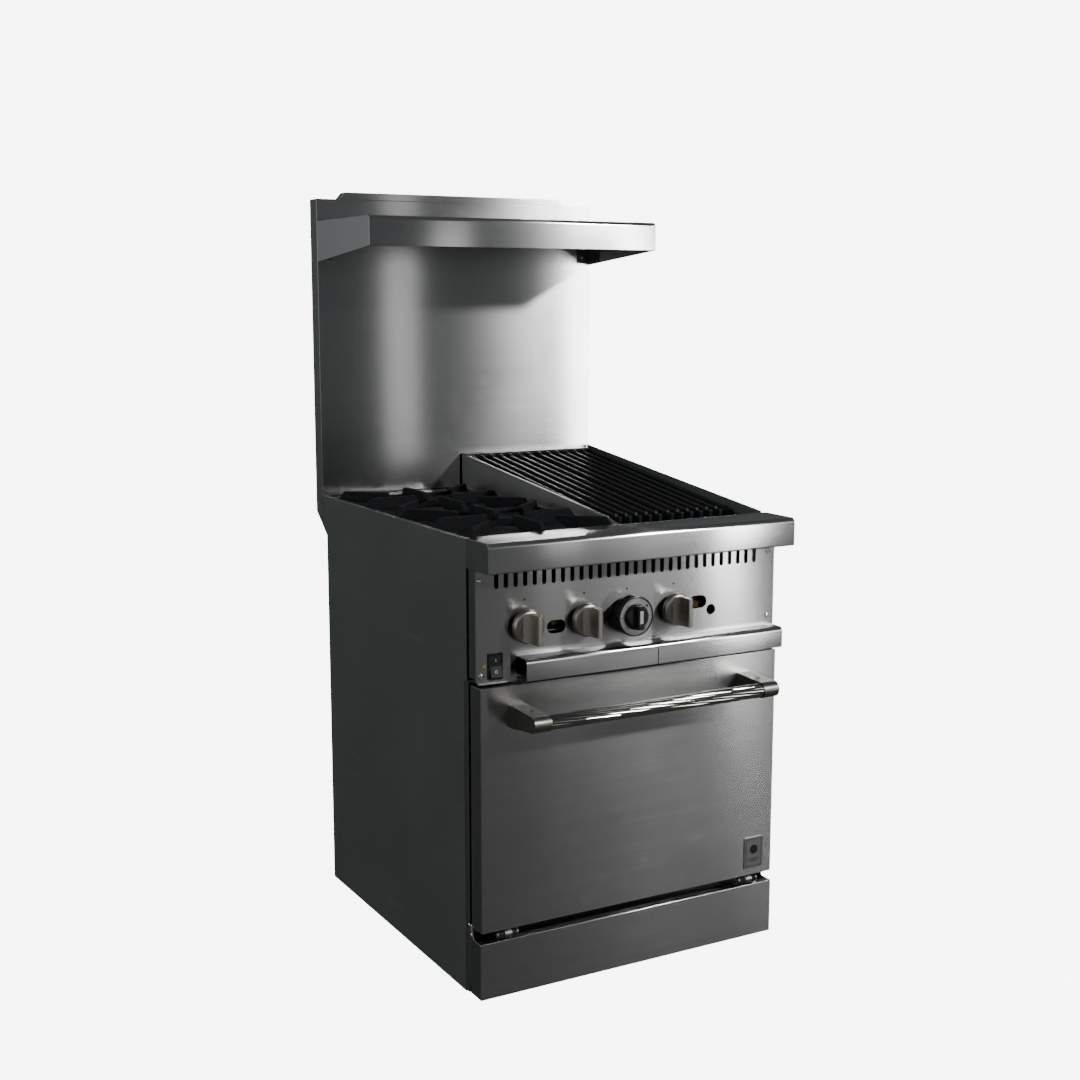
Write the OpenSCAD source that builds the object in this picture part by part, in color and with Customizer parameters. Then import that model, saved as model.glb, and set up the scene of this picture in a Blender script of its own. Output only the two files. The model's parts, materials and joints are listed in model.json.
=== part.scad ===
// Commercial gas range, 24 in class: two open burners, an inclined radiant broiler and an oven.
// The front faces -Y. Heights are measured from the plane that the cabinet stands on.
// Inside the modules, y is measured from the cabinet's front plane and grows to the back.

/* [Cabinet] */
// Outer width of the cabinet
body_w = 610; // [500:5:760]
// Depth of the side panels
body_d = 613; // [500:1:760]
// Height of the side panels' top edge
deck_h = 782; // [640:1:960]
// Thickness of the sheet metal
sheet = 1.5; // [1:0.1:2]
// Width of the open burner side, from the left edge to the broiler's left panel
burner_side = 305; // [290:1:330]
// Height of the kick plate
kick_h = 100; // [80:1:100]

/* [Backguard and shelf] */
// Height of the backguard above the deck
guard_up = 574; // [400:1:760]
// Depth of the backguard
guard_t = 35; // [25:1:60]
// Space between the cabinet's rear face and the backguard's front
guard_gap = 18; // [14:1:30]
// Depth of the high shelf
shelf_d = 256; // [150:1:340]
// Height of the shelf's front lip
shelf_lip = 54; // [30:1:70]
// Distance from the shelf's top face to the backguard's top
shelf_drop = 42; // [10:1:120]

/* [Front] */
// Depth of the landing ledge
ledge_d = 81; // [60:1:110]
// Height of the landing ledge
ledge_h = 50; // [30:1:56]
// Distance from the cabinet's front to the control panel's face
panel_out = 28; // [24:1:34]
// Number of vent slots
vents = 30; // [10:1:40]
// Width of a vent slot
vent_w = 8; // [3:0.5:10]

/* [Controls] */
// Radius of a burner knob
knob_r = 28.5; // [22:0.5:34]
// Length of a knob
knob_l = 46; // [36:1:54]
// Distance from the control panel to a burner knob's base
knob_gap = 8; // [1:0.5:12]
// Radius of the oven dial
dial_r = 35; // [28:0.5:38]
// Radius of a valve stem
stem_r = 4; // [3:0.1:5]

/* [Door] */
// Thickness of the oven door
door_t = 38; // [32:1:50]
// Height of the door's lower edge
door_low = 119; // [119:1:130]
// Radius of the handle tube
handle_r = 12.5; // [8:0.5:16]
// Distance from the door's face to the handle's axis
handle_out = 70; // [50:1:75]

/* [Oven] */
// Insulated side wall, from the cavity to the cabinet's outside
oven_wall = 51; // [45:1:60]
// Clear depth of the cavity
cavity_d = 544; // [420:1:545]

/* [Cooktop] */
// Thickness of a grate finger
finger_t = 9; // [6:0.5:12]
// Height of the fingers above the deck
finger_up = 14; // [8:1:20]
// Radius of a burner head
head_r = 45; // [35:1:48]
// Spacing of the broiler ribs
rib_pitch = 21.5; // [18:0.5:26]
// Thickness of a broiler rib
rib_t = 7; // [5:0.5:9]
// Slope of the broiler grates, in degrees
rib_slope = 7.56; // [5:0.01:9]

/* [Gas] */
// Outer radius of the gas pipe
pipe_r = 13.3; // [10:0.1:14]
// Radius of the leg bolt holes
leg_hole_r = 6.35; // [4:0.05:8]

/* [Hidden] */
$fn = 48;
half_w = body_w / 2;
inner = half_w - sheet;
guard_y = body_d + guard_gap;
guard_back = guard_y + guard_t;
guard_top = deck_h + guard_up;
door_gap = 3;
door_face = -door_gap - door_t;
handle_y = door_face - handle_out;
ferrule = 1.5;
cab_y = -(guard_back + handle_y - handle_r - ferrule) / 2;
touch = 0.4;
fit_gap = 0.05;

panel_low = deck_h - 240;
tray_top = deck_h - 199;
tray_low = tray_top - 37;
tray_floor = tray_top - 33.5;
tray_back = body_d - 65;
frame_top = panel_low + 3;
frame_side_t = 1.5;
strip_d = 10;
door_top = panel_low - 3;
door_half = half_w - 5;
handle_z = door_top - 50;
handle_half = half_w - 60;
knob_z = deck_h - 148;
dial_gap = 2;

wedge_x = -half_w + burner_side;
burner_x = -half_w + burner_side / 2;
front_knob_x = burner_x - 58.5;
rear_knob_x = burner_x + 55.5;
oven_knob_x = wedge_x - 12;
broiler_knob_x = wedge_x + 84;
burner_knobs = [front_knob_x, rear_knob_x, broiler_knob_x];
panel_step_x = -half_w + 78;
lip_left_x = panel_step_x + 4;
lip_mid_x = wedge_x + 35;
rocker_x = -half_w + 38.4;
rocker_z = panel_low + 29.5;
light_x = -half_w + 18;
light_z = panel_low + 31;
pilot_left_x = wedge_x - 151;
pilot_right_x = wedge_x + 136;

deck_top = deck_h - sheet;
hem_w = 8;
rear_strip = 41;
grate_seat = (guard_y - rear_strip - 3) / 2;
grate_y = [3 + grate_seat / 2, 3 + grate_seat * 1.5];
grate_half_x = 143;
grate_half_y = grate_seat / 2 - 4;
seat_half_x = 145;
seat_half_y = grate_seat / 2 - 2;
rim_top = deck_h - 1;
rim_low = deck_h - 10.5;
finger_top = deck_h + finger_up;
bowl_r = 75;
bowl_low_r = head_r + 7;

ribs_y0 = 95;
ribs_z0 = deck_h - 2.3;
ribs_y1 = guard_y - 29;
rib_h = 20;
broiler_in = wedge_x + 0.75;
broiler_out = inner - sheet;
section_w = (broiler_out - broiler_in - 10) / 2;
ribs = floor((section_w - rib_t - 6) / rib_pitch) + 1;
rib_span = (ribs - 1) * rib_pitch;
broiler_mid = (broiler_in + broiler_out) / 2;
section_gap = min(13, (broiler_out - broiler_in) / 2 - rib_span - rib_t / 2 - 5);
section_x = [broiler_mid - rib_span / 2 - section_gap, broiler_mid + rib_span / 2 + section_gap];
wedge_rear_z = deck_h + 69;
firebox_low = deck_h - 118;
tube_z = deck_h - 82;
orifice_z = knob_z + 22;

cavity_half = half_w - oven_wall;
cavity_low = door_low + 9;
cavity_top = panel_low - 34;
mouth_low = door_low + 31;
liner_back = 16 + cavity_d;
oven_floor_z = cavity_low + 42;
rack_levels = 4;
rack_step = (cavity_top - oven_floor_z - 60) / rack_levels;
rack_level_z = [for (i = [0 : rack_levels - 1]) oven_floor_z + 45 + i * rack_step];
rack_z = rack_level_z[1] + 6.3;
flue_x = [burner_x + 12, wedge_x - 20];
pivot_y = door_face + 5;
pivot_z = door_low - 9;
hinge_x = door_half - 50;
pipe_y = 18;
feed_x = half_w - 33;
foot_low = deck_h - 77;
foot_high = deck_h - 34;
shelf_y = guard_y - shelf_d;
shelf_z = guard_top - shelf_drop;
shelf_root = shelf_lip + 24;
rocker_rest = -6;

// ---- helpers ----

// Moves a child from the cabinet's front plane to the part's own frame.
module seated() {
    translate([0, cab_y, 0]) children();
}

// A block between two values on each axis.
module block(x, y, z) {
    translate([min(x), min(y), min(z)])
        cube([abs(x[1] - x[0]), abs(y[1] - y[0]), abs(z[1] - z[0])]);
}

// A rod between two points.
module rod(from, to, r) {
    run = to - from;
    reach = norm(run);
    translate(from)
        rotate([0, acos(run[2] / reach), atan2(run[1], run[0])])
            cylinder(r = r, h = reach);
}

// A bent tube through a list of points, with round corners.
module tube_run(points, r) {
    for (i = [0 : len(points) - 2]) rod(points[i], points[i + 1], r);
    if (len(points) > 2)
        for (i = [1 : len(points) - 2]) translate(points[i]) sphere(r = r);
}

// Extrudes an outline drawn in y and z between two x values.
module along_x(x) {
    translate([min(x), 0, 0]) rotate([90, 0, 90]) linear_extrude(abs(x[1] - x[0])) children();
}

// Extrudes an outline drawn in x and z between two y values.
module along_y(y) {
    translate([0, max(y), 0]) rotate([90, 0, 0]) linear_extrude(abs(y[1] - y[0])) children();
}

module rect(a, b) {
    translate([min(a), min(b)]) square([abs(a[1] - a[0]), abs(b[1] - b[0])]);
}

// A rectangle with round corners.
module round_rect(a, b, r) {
    rect([a[0] + r, a[1] - r], b);
    rect(a, [b[0] + r, b[1] - r]);
    for (u = [a[0] + r, a[1] - r], v = [b[0] + r, b[1] - r]) translate([u, v]) circle(r = r);
}

// A folded front: round at its upper front edge, slightly round at its lower one.
module nose(y, z, top_r, low_r) {
    rect([y[0] + top_r, y[1]], z);
    rect([y[0], y[0] + top_r], [z[0] + low_r, z[1] - top_r]);
    rect([y[0] + low_r, y[0] + top_r], [z[0], z[0] + low_r]);
    translate([y[0] + top_r, z[1] - top_r]) circle(r = top_r);
    translate([y[0] + low_r, z[0] + low_r]) circle(r = low_r);
}

// A slot with round ends, along z.
module upright_slot(x, z, w) {
    rect([x - w / 2, x + w / 2], [z[0] + w / 2, z[1] - w / 2]);
    for (v = [z[0] + w / 2, z[1] - w / 2]) translate([x, v]) circle(d = w);
}

// A slot with round ends, along x.
module level_slot(x, z, length, w) {
    reach = (length - w) / 2;
    rect([x - reach, x + reach], [z - w / 2, z + w / 2]);
    for (side = [-1, 1]) translate([x + side * reach, z]) circle(d = w);
}

// Turns a solid that rises along its own z so that it rises towards the front.
module facing_front(x, y, z) {
    translate([x, y, z]) rotate([90, 0, 0]) children();
}

// Height of the backguard's slanted foot at a depth.
function foot_z(y) = foot_low + (foot_high - foot_low) * (y - body_d) / (guard_back - body_d);

// Height of a broiler rib's top at a depth.
function rib_top(y) = ribs_z0 + (y - ribs_y0) * tan(rib_slope);

// ---- cabinet ----

module side_outline() {
    polygon([
        [strip_d, 0], [strip_d, frame_top], [0, frame_top], [0, deck_h],
        [guard_y, deck_h], [guard_y, foot_z(guard_y)], [body_d, foot_low], [body_d, 0]
    ]);
}

module side_panel_left() {
    color("#565b58") seated() {
        along_x([-half_w, -inner]) side_outline();
        block([-inner, -half_w + hem_w], [sheet, guard_y], [deck_top, deck_h]);
    }
}

module side_panel_right() {
    color("#565b58") seated() along_x([inner, half_w]) side_outline();
}

module back_panel() {
    color("#8f9395") seated() difference() {
        block([-inner, inner], [body_d - sheet, body_d], [3, foot_low - 2]);
        rod([feed_x, body_d - 5, knob_z], [feed_x, body_d + 5, knob_z], pipe_r + 5);
        rod([-half_w + 75, body_d - 5, 160], [-half_w + 75, body_d + 5, 160], 11);
        for (i = [0 : 4], side = [-1, 1])
            block([side * 100 - 40, side * 100 + 40], [body_d - 5, body_d + 5], [40 + i * 14, 45 + i * 14]);
    }
}

module base_frame() {
    rail = 45;
    rail_h = 30;
    back = body_d - sheet;
    color("#6c7072") seated() difference() {
        union() {
            difference() {
                block([-inner, inner], [strip_d, back], [0, rail_h]);
                block([-inner + 2, inner - 2], [strip_d + 2, back - 2], [2, rail_h + 1]);
                block([-inner + rail, inner - rail], [strip_d + rail, back - rail], [-1, 3]);
            }
            for (side = [-1, 1], y = [45, body_d - 45])
                rod([side * (half_w - 40), y, 0], [side * (half_w - 40), y, 25], 13);
        }
        for (side = [-1, 1], y = [45, body_d - 45])
            rod([side * (half_w - 40), y, -1], [side * (half_w - 40), y, 26], leg_hole_r);
    }
}

module front_frame() {
    edge = half_w - 0.5;
    color("#a9acab") seated() difference() {
        block([-edge, edge], [0, strip_d], [2, frame_top]);
        block([-edge + frame_side_t, edge - frame_side_t], [2, strip_d + 1], [0, frame_top - 2]);
        block([-cavity_half, cavity_half], [-1, 3], [mouth_low, cavity_top]);
    }
}

module kick_plate() {
    front = door_face + 1;
    edge = half_w - 3;
    color("#b4b7b9") seated() {
        block([-edge, edge], [front, front + sheet], [1, kick_h]);
        block([-edge, edge], [front, front + 14], [kick_h - sheet, kick_h]);
        for (side = [-1, 1])
            along_x([side * edge, side * (edge - sheet)])
                polygon([
                    [front, 1], [front, kick_h], [-14, kick_h], [-4, kick_h + 20], [0, kick_h + 20], [0, 1]
                ]);
    }
}

// ---- oven ----

module oven_liner() {
    t = sheet;
    color("#3c4043") seated() difference() {
        block([-cavity_half - t, cavity_half + t], [2, liner_back + t], [cavity_low - t, cavity_top + t]);
        block([-cavity_half, cavity_half], [1, liner_back], [cavity_low, cavity_top]);
        block(flue_x, [liner_back - 1, liner_back + 3], [cavity_top - 38, cavity_top - 8]);
        block([-20, 20], [92, 132], [cavity_low - 3, cavity_low + 1]);
        rod([-cavity_half + 14, 40, cavity_top - 2], [-cavity_half + 14, 40, cavity_top + 3], 4);
    }
}

module oven_insulation() {
    t = sheet;
    out_x = half_w - 15;
    color("#c9c08f") seated() difference() {
        block([-out_x, out_x], [strip_d + 1, liner_back + 38], [cavity_low - 23, cavity_top + 33]);
        block([-cavity_half - t, cavity_half + t], [0, liner_back + t], [cavity_low - t, cavity_top + t]);
        block([flue_x[0] - t, flue_x[1] + t], [liner_back, liner_back + 40],
              [cavity_top - 38 - t, cavity_top + 40]);
        block([-20, 20], [92, 132], [cavity_low - 30, cavity_low]);
        rod([-cavity_half + 14, 40, cavity_top], [-cavity_half + 14, 40, cavity_top + 40], 4);
    }
}

module oven_floor() {
    edge = cavity_half - 2;
    color("#4a4e50") seated() difference() {
        block([-edge, edge], [12, liner_back - 4], [cavity_low, oven_floor_z]);
        block([-edge + sheet, edge - sheet], [11, liner_back], [cavity_low - 1, oven_floor_z - sheet]);
        for (side = [-1, 1], i = [0 : 7])
            block([side * (edge - 12), side * (edge - 26)], [60 + i * 58, 90 + i * 58],
                  [oven_floor_z - 5, oven_floor_z + 1]);
    }
}

module rack_guides() {
    wall_x = cavity_half - 3;
    rail_x = cavity_half - 14;
    post_y = [70, liner_back - 60];
    post_top = rack_level_z[rack_levels - 1] + 20;
    color("#b9bcbe") seated() for (side = [-1, 1]) {
        for (y = post_y)
            rod([side * wall_x, y, oven_floor_z], [side * wall_x, y, post_top], 3);
        for (z = rack_level_z) {
            rod([side * rail_x, 30, z], [side * rail_x, liner_back - 20, z], 3);
            for (y = post_y) rod([side * rail_x, y, z], [side * wall_x, y, z], 2.5);
        }
    }
}

module oven_rack() {
    edge = cavity_half - 14;
    y0 = 30;
    y1 = liner_back - 30;
    wires = floor(2 * edge / 28);
    gap = 2 * edge / wires;
    color("#c6c9cb") seated() {
        for (side = [-1, 1]) rod([side * edge, y0, rack_z], [side * edge, y1, rack_z], 3);
        for (y = [y0, (y0 + y1) / 2, y1]) rod([-edge, y, rack_z], [edge, y, rack_z], 3);
        for (side = [-1, 1], y = [y0, y1]) translate([side * edge, y, rack_z]) sphere(r = 3);
        for (i = [1 : wires - 1])
            rod([-edge + i * gap, y0, rack_z + 2], [-edge + i * gap, y1, rack_z + 2], 2);
    }
}

module oven_burner() {
    z = cavity_low + 20;
    pipe_z = cavity_low - 44;
    arm = 120;
    ends = liner_back - 80;
    supply_x = -half_w + 10;
    color("#5d6163") seated() {
        difference() {
            union() {
                for (side = [-1, 1]) rod([side * arm, 112, z], [side * arm, ends, z], 15);
                rod([-arm, 112, z], [arm, 112, z], 15);
                for (side = [-1, 1]) translate([side * arm, 112, z]) sphere(r = 15);
                for (side = [-1, 1]) rod([side * arm, ends, z], [side * arm, ends + 3, z], 17);
                for (side = [-1, 1]) block([side * arm - 8, side * arm + 8], [ends - 12, ends - 8],
                                           [cavity_low, z]);
            }
            for (side = [-1, 1], i = [0 : 14])
                block([side * arm - 1, side * arm + 1], [150 + i * 20, 160 + i * 20], [z + 8, z + 20]);
        }
        rod([0, 112, pipe_z], [0, 112, z], 15);
        translate([0, 112, pipe_z]) sphere(r = 15);
        rod([0, 40, pipe_z], [0, 112, pipe_z], 15);
        rod([0, 34, pipe_z], [0, 40, pipe_z], 20);
        tube_run([[oven_knob_x, -12, knob_z - 20], [oven_knob_x, -12, tray_top + 16],
                  [supply_x, -12, tray_top + 16], [supply_x, 24, tray_top + 16],
                  [supply_x, 24, pipe_z], [0, 24, pipe_z], [0, 34, pipe_z]], 3.5);
    }
}

module oven_flue() {
    t = sheet;
    low = cavity_top - 38;
    up_y = [max(body_d - 51.5, liner_back + t), body_d - 15];
    out_z = [deck_h - 50, deck_h - 18];
    color("#7a7e80") seated() difference() {
        union() {
            block([flue_x[0] - t, flue_x[1] + t], up_y, [low - t, out_z[1]]);
            block([flue_x[0] - t, flue_x[1] + t], [up_y[0], guard_y + 6], out_z);
            block([flue_x[0] - t, flue_x[1] + t], [liner_back + t, up_y[0] + t],
                  [low - t, cavity_top - 8 + t]);
        }
        block(flue_x, [liner_back, up_y[1] - t], [low, cavity_top - 8]);
        block(flue_x, [up_y[0] + t, up_y[1] - t], [low, out_z[1] - t]);
        block(flue_x, [up_y[0] + t, guard_y + 7], [out_z[0] + t, out_z[1] - t]);
    }
}

// ---- gas train ----

module gas_manifold() {
    ports = [front_knob_x, rear_knob_x, oven_knob_x, broiler_knob_x, pilot_left_x, pilot_right_x];
    color("#4b4d4f") seated() difference() {
        rod([-inner, pipe_y, knob_z], [feed_x - 22, pipe_y, knob_z], pipe_r);
        rod([-inner + 4, pipe_y, knob_z], [feed_x - 21, pipe_y, knob_z], pipe_r - 3);
        for (x = ports) rod([x, pipe_y - 15, knob_z], [x, pipe_y, knob_z], 5);
    }
}

module valve_nipple(x) {
    rod([x, 2, knob_z], [x, pipe_y - 9, knob_z], 5);
}

module gas_valves() {
    color("#b99a55") seated() for (x = burner_knobs) {
        difference() {
            union() {
                rod([x, -24, knob_z], [x, 3, knob_z], 12);
                valve_nipple(x);
                tube_run([[x, -10, knob_z + 6], [x, -10, orifice_z], [x, 32, orifice_z]], 4);
                rod([x, 32, orifice_z], [x, 37, orifice_z], 3);
            }
            rod([x, -25, knob_z], [x, -1, knob_z], stem_r + fit_gap);
        }
    }
}

module oven_thermostat() {
    x = oven_knob_x;
    bulb_x = -cavity_half + 14;
    color("#a4a7a9") seated() {
        difference() {
            union() {
                block([x - 20, x + 20], [-24, 3], [knob_z - 20, knob_z + 20]);
                valve_nipple(x);
            }
            rod([x, -25, knob_z], [x, -1, knob_z], stem_r + fit_gap);
        }
        tube_run([[x - 20, -16, knob_z - 16], [bulb_x, -16, knob_z - 16], [bulb_x, 40, knob_z - 16],
                  [bulb_x, 40, cavity_top - 12], [bulb_x, 56, cavity_top - 12]], 1.5);
        rod([bulb_x, 56, cavity_top - 12], [bulb_x, 180, cavity_top - 12], 4);
    }
}

module gas_feed_pipe() {
    color("#4b4d4f") seated() difference() {
        union() {
            rod([feed_x, pipe_y, knob_z - 18], [feed_x, pipe_y, knob_z + 18], 17.5);
            rod([feed_x - 22, pipe_y, knob_z], [feed_x, pipe_y, knob_z], 16.5);
            rod([feed_x, pipe_y, knob_z], [feed_x, pipe_y + 24, knob_z], 16.5);
            rod([feed_x, pipe_y, knob_z], [feed_x, body_d + 4, knob_z], pipe_r - 0.8);
            rod([feed_x, body_d + 4, knob_z], [feed_x, guard_back - 6, knob_z], pipe_r);
        }
        rod([feed_x, pipe_y, knob_z], [feed_x, guard_back, knob_z], pipe_r - 3);
        rod([feed_x - 30, pipe_y, knob_z], [feed_x, pipe_y, knob_z], pipe_r - 5);
    }
}

module pilot_lines() {
    high = knob_z + 48;
    low = knob_z + 18;
    lane = burner_x + 47.5;
    mid_y = grate_y[0] + grate_seat / 2;
    color("#c08a4e") seated() {
        for (x = [pilot_left_x, pilot_right_x]) {
            rod([x, -20, knob_z], [x, 3, knob_z], 7);
            valve_nipple(x);
        }
        tube_run([[pilot_left_x, -12, knob_z + 5], [pilot_left_x, -12, high], [lane, -12, high],
                  [lane, mid_y, high], [lane, mid_y, rim_low - 25]], 3);
        tube_run([[pilot_right_x, -12, knob_z + 5], [pilot_right_x, -12, low], [pilot_right_x, 70, low],
                  [pilot_right_x, 70, tube_z]], 3);
    }
}

module cord_gland() {
    x = -half_w + 75;
    color("#1d1e20") seated() difference() {
        union() {
            rod([x, body_d, 160], [x, body_d + 12, 160], 15);
            rod([x, body_d - 10, 160], [x, body_d, 160], 11);
        }
        rod([x, body_d - 11, 160], [x, body_d + 13, 160], 5);
    }
}

// ---- cooktop ----

module cooktop_deck() {
    plate = [deck_top - sheet, deck_top];
    color("#b4b7b9") seated() {
        difference() {
            union() {
                block([-inner, inner], [0, guard_y], plate);
                block([-inner, inner], [0, sheet], [deck_top - sheet, deck_h + 2]);
                for (y = grate_y)
                    block([burner_x - seat_half_x - sheet, burner_x + seat_half_x + sheet],
                          [y - seat_half_y - sheet, y + seat_half_y + sheet], [rim_low - 2, deck_top]);
            }
            for (y = grate_y) {
                block([burner_x - seat_half_x, burner_x + seat_half_x],
                      [y - seat_half_y, y + seat_half_y], [rim_low - touch, deck_top + 1]);
                block([burner_x - seat_half_x + 12, burner_x + seat_half_x - 12],
                      [y - seat_half_y + 12, y + seat_half_y - 12], [rim_low - 5, deck_top]);
            }
            block([wedge_x - 0.75, inner + 1], [15, guard_y - 2], [deck_top - 5, deck_top + 1]);
        }
    }
}

module top_burner(y, valve_x) {
    centre = [burner_x, y, orifice_z];
    mouth = [valve_x, 42, orifice_z];
    rod(mouth, centre, 12);
    rod(mouth, mouth + 8 * (centre - mouth) / norm(centre - mouth), 17);
    translate(centre) sphere(r = 15);
    rod(centre, [burner_x, y, rim_low - 36], 15);
    translate([burner_x, y, 0]) rotate_extrude()
        polygon([
            [0, rim_low - 40], [24, rim_low - 40], [head_r, rim_low - 26], [head_r, rim_low - 14],
            [head_r - 6, rim_low - 14], [head_r - 10, rim_low - 22], [0, rim_low - 22]
        ]);
}

module top_burners() {
    color("#34373a") seated() {
        top_burner(grate_y[0], front_knob_x);
        top_burner(grate_y[1], rear_knob_x);
    }
}

module burner_caps() {
    low = rim_low - 14;
    color("#2b2d30") seated() for (y = grate_y)
        translate([burner_x, y, 0]) difference() {
            rotate_extrude() polygon([
                [0, low], [head_r, low], [head_r, low + 4], [head_r - 6, low + 9],
                [14, low + 12], [0, low + 12]
            ]);
            for (i = [0 : 23]) rotate([0, 0, i * 15])
                block([head_r - 6, head_r + 1], [-1.2, 1.2], [low - 1, low + 3]);
        }
}

module grate_finger(reach, stop, lean) {
    rotate([90, 0, 0]) translate([0, 0, -finger_t / 2]) linear_extrude(finger_t) polygon([
        [reach - 1, rim_low], [reach - 1, rim_top - 2], [reach - 14, finger_top], [stop + 3, finger_top],
        [stop, finger_top - 4], [stop - lean, finger_top - 14],
        [stop + 26, rim_low + 2], [stop + 26, rim_low]
    ]);
}

module burner_grate(y) {
    corner = norm([grate_half_x, grate_half_y]);
    angle = atan2(grate_half_y, grate_half_x);
    color("#26282a") seated() translate([burner_x, y, 0]) {
        difference() {
            block([-grate_half_x, grate_half_x], [-grate_half_y, grate_half_y], [rim_low, rim_low + 4]);
            translate([0, 0, rim_low - 1]) cylinder(r = bowl_r - 3, h = 8);
        }
        difference() {
            block([-grate_half_x, grate_half_x], [-grate_half_y, grate_half_y], [rim_low, rim_top]);
            block([10 - grate_half_x, grate_half_x - 10], [10 - grate_half_y, grate_half_y - 10],
                  [rim_low - 1, rim_top + 1]);
        }
        rotate_extrude() polygon([
            [bowl_r, rim_low], [bowl_r, rim_low + 4], [bowl_r - 4, rim_low + 4],
            [bowl_low_r, rim_low - 22], [bowl_low_r, rim_low - 26], [bowl_low_r + 3, rim_low - 26]
        ]);
        for (turn = [0, 180]) {
            rotate([0, 0, turn]) grate_finger(grate_half_x, 36, 0);
            rotate([0, 0, turn + 90]) grate_finger(grate_half_y, 33, 0);
        }
        for (turn = [angle, -angle, 180 - angle, 180 + angle])
            rotate([0, 0, turn]) grate_finger(corner - 6, 90, -12);
    }
}

module burner_grate_front() { burner_grate(grate_y[0]); }
module burner_grate_rear() { burner_grate(grate_y[1]); }

// ---- broiler ----

module broiler_left_panel() {
    rear = guard_y - 6;
    top = [[58, deck_h + 8], [rear, wedge_rear_z]];
    hem_end = top[0] + (top[1] - top[0]) * (ribs_y1 + 2 - top[0].x) / (rear - top[0].x);
    color("#b4b7b9") seated() {
        along_x([wedge_x - 0.75, broiler_in]) polygon([
            [45, tray_top + 8], [45, deck_h - 12], [15, deck_h - 12], [15, deck_h], top[0], top[1],
            [rear, foot_low + 20], [body_d - sheet - 2, foot_low + 8], [ribs_y1, foot_low - 30],
            [ribs_y1, tray_top + 8]
        ]);
        along_x([broiler_in, broiler_in + 4]) polygon([
            top[0], hem_end, hem_end - [0, sheet], top[0] - [0, sheet]
        ]);
    }
}

module broiler_right_panel() {
    color("#565b58") seated() along_x([inner - sheet, inner]) polygon([
        [15, deck_h - 30], [15, deck_h + 3], [guard_y - 2, wedge_rear_z + 5], [guard_y - 2, foot_low + 20],
        [ribs_y1, deck_h - 30]
    ]);
}

module broiler_firebox() {
    left = [broiler_in, broiler_in + sheet];
    right = [broiler_out - sheet, broiler_out];
    inside = [left[1], right[0]];
    back = ribs_y1 + 3;
    drop = (rib_h + 6 + touch) / cos(rib_slope);
    color("#3a3d3f") seated() {
        for (x = [left, right])
            along_x(x) polygon([
                [17, firebox_low], [17, deck_top - 8], [ribs_y0, deck_top - 8], [back, rib_top(back) - 8],
                [back, firebox_low]
            ]);
        block(inside, [17, 17 + sheet], [firebox_low, deck_top - 8]);
        block([left[0], right[1]], [back, back + sheet], [firebox_low, wedge_rear_z]);
        block([left[0], right[1]], [back, guard_y - 1], [wedge_rear_z - sheet, wedge_rear_z]);
        for (y = [ribs_y0 + 14, ribs_y1 - 12])
            rod([inside[0], y, rib_top(y) - drop], [inside[1], y, rib_top(y) - drop], 6);
        for (y = [ribs_y0 + 44, back - 60])
            rod([inside[0], y, tube_z + 22], [inside[1], y, tube_z + 22], 4);
    }
}

module broiler_burners() {
    mouth = [broiler_knob_x, 42, orifice_z];
    feed = [broiler_knob_x, 104, tube_z];
    color("#5d6163") seated() {
        for (x = section_x) difference() {
            union() {
                rod([x, 104, tube_z], [x, ribs_y1 - 30, tube_z], 14);
                rod([x, ribs_y1 - 30, tube_z], [x, ribs_y1 + 3, tube_z], 5);
                translate([x, 104, tube_z]) sphere(r = 14);
            }
            for (i = [0 : 13])
                block([x - 1, x + 1], [140 + i * 28, 156 + i * 28], [tube_z + 8, tube_z + 20]);
        }
        rod([section_x[0], 104, tube_z], [section_x[1], 104, tube_z], 12);
        rod(mouth, feed, 11);
        rod(mouth, mouth + 8 * (feed - mouth) / norm(feed - mouth), 16);
    }
}

module broiler_radiants() {
    low = tube_z + 26;
    wing = min(50, rib_span / 2 - 8);
    ends = [ribs_y0 + 26, ribs_y1 - 34];
    color("#33363a") seated() for (x = section_x) difference() {
        along_y(ends) polygon([
            [x - wing, low], [x, low + 19], [x + wing, low],
            [x + wing, low + 4], [x, low + 24], [x - wing, low + 4]
        ]);
        for (i = [0 : 5])
            block([x - wing - 1, x - 12], [ends[0] + 40 + i * 66, ends[0] + 46 + i * 66],
                  [low - 1, low + 30]);
    }
}

module broiler_rib(length) {
    rotate([90, 0, 90]) translate([0, 0, -rib_t / 2]) linear_extrude(rib_t) polygon([
        [0, -16], [0, 0], [6, 0], [14, -2], [17, 2.5], [21, 2.5], [24, 0],
        [length - 16, 0], [length - 12, 3], [length - 4, 3],
        [length, -2], [length, -16], [length - 8, -rib_h], [8, -rib_h]
    ]);
}

module broiler_grate(centre) {
    length = (ribs_y1 - ribs_y0) / cos(rib_slope);
    color("#26282a") seated()
        translate([centre, ribs_y0, ribs_z0]) rotate([rib_slope, 0, 0]) {
            for (i = [0 : ribs - 1])
                translate([i * rib_pitch - rib_span / 2, 0, 0]) broiler_rib(length);
            for (y = [40, length / 3, 2 * length / 3, length - 34])
                block([-rib_span / 2 - rib_t / 2, rib_span / 2 + rib_t / 2], [y, y + 9], [-rib_h, -8]);
        }
}

module broiler_grate_left() { broiler_grate(section_x[0]); }
module broiler_grate_right() { broiler_grate(section_x[1]); }

// ---- front ----

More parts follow.
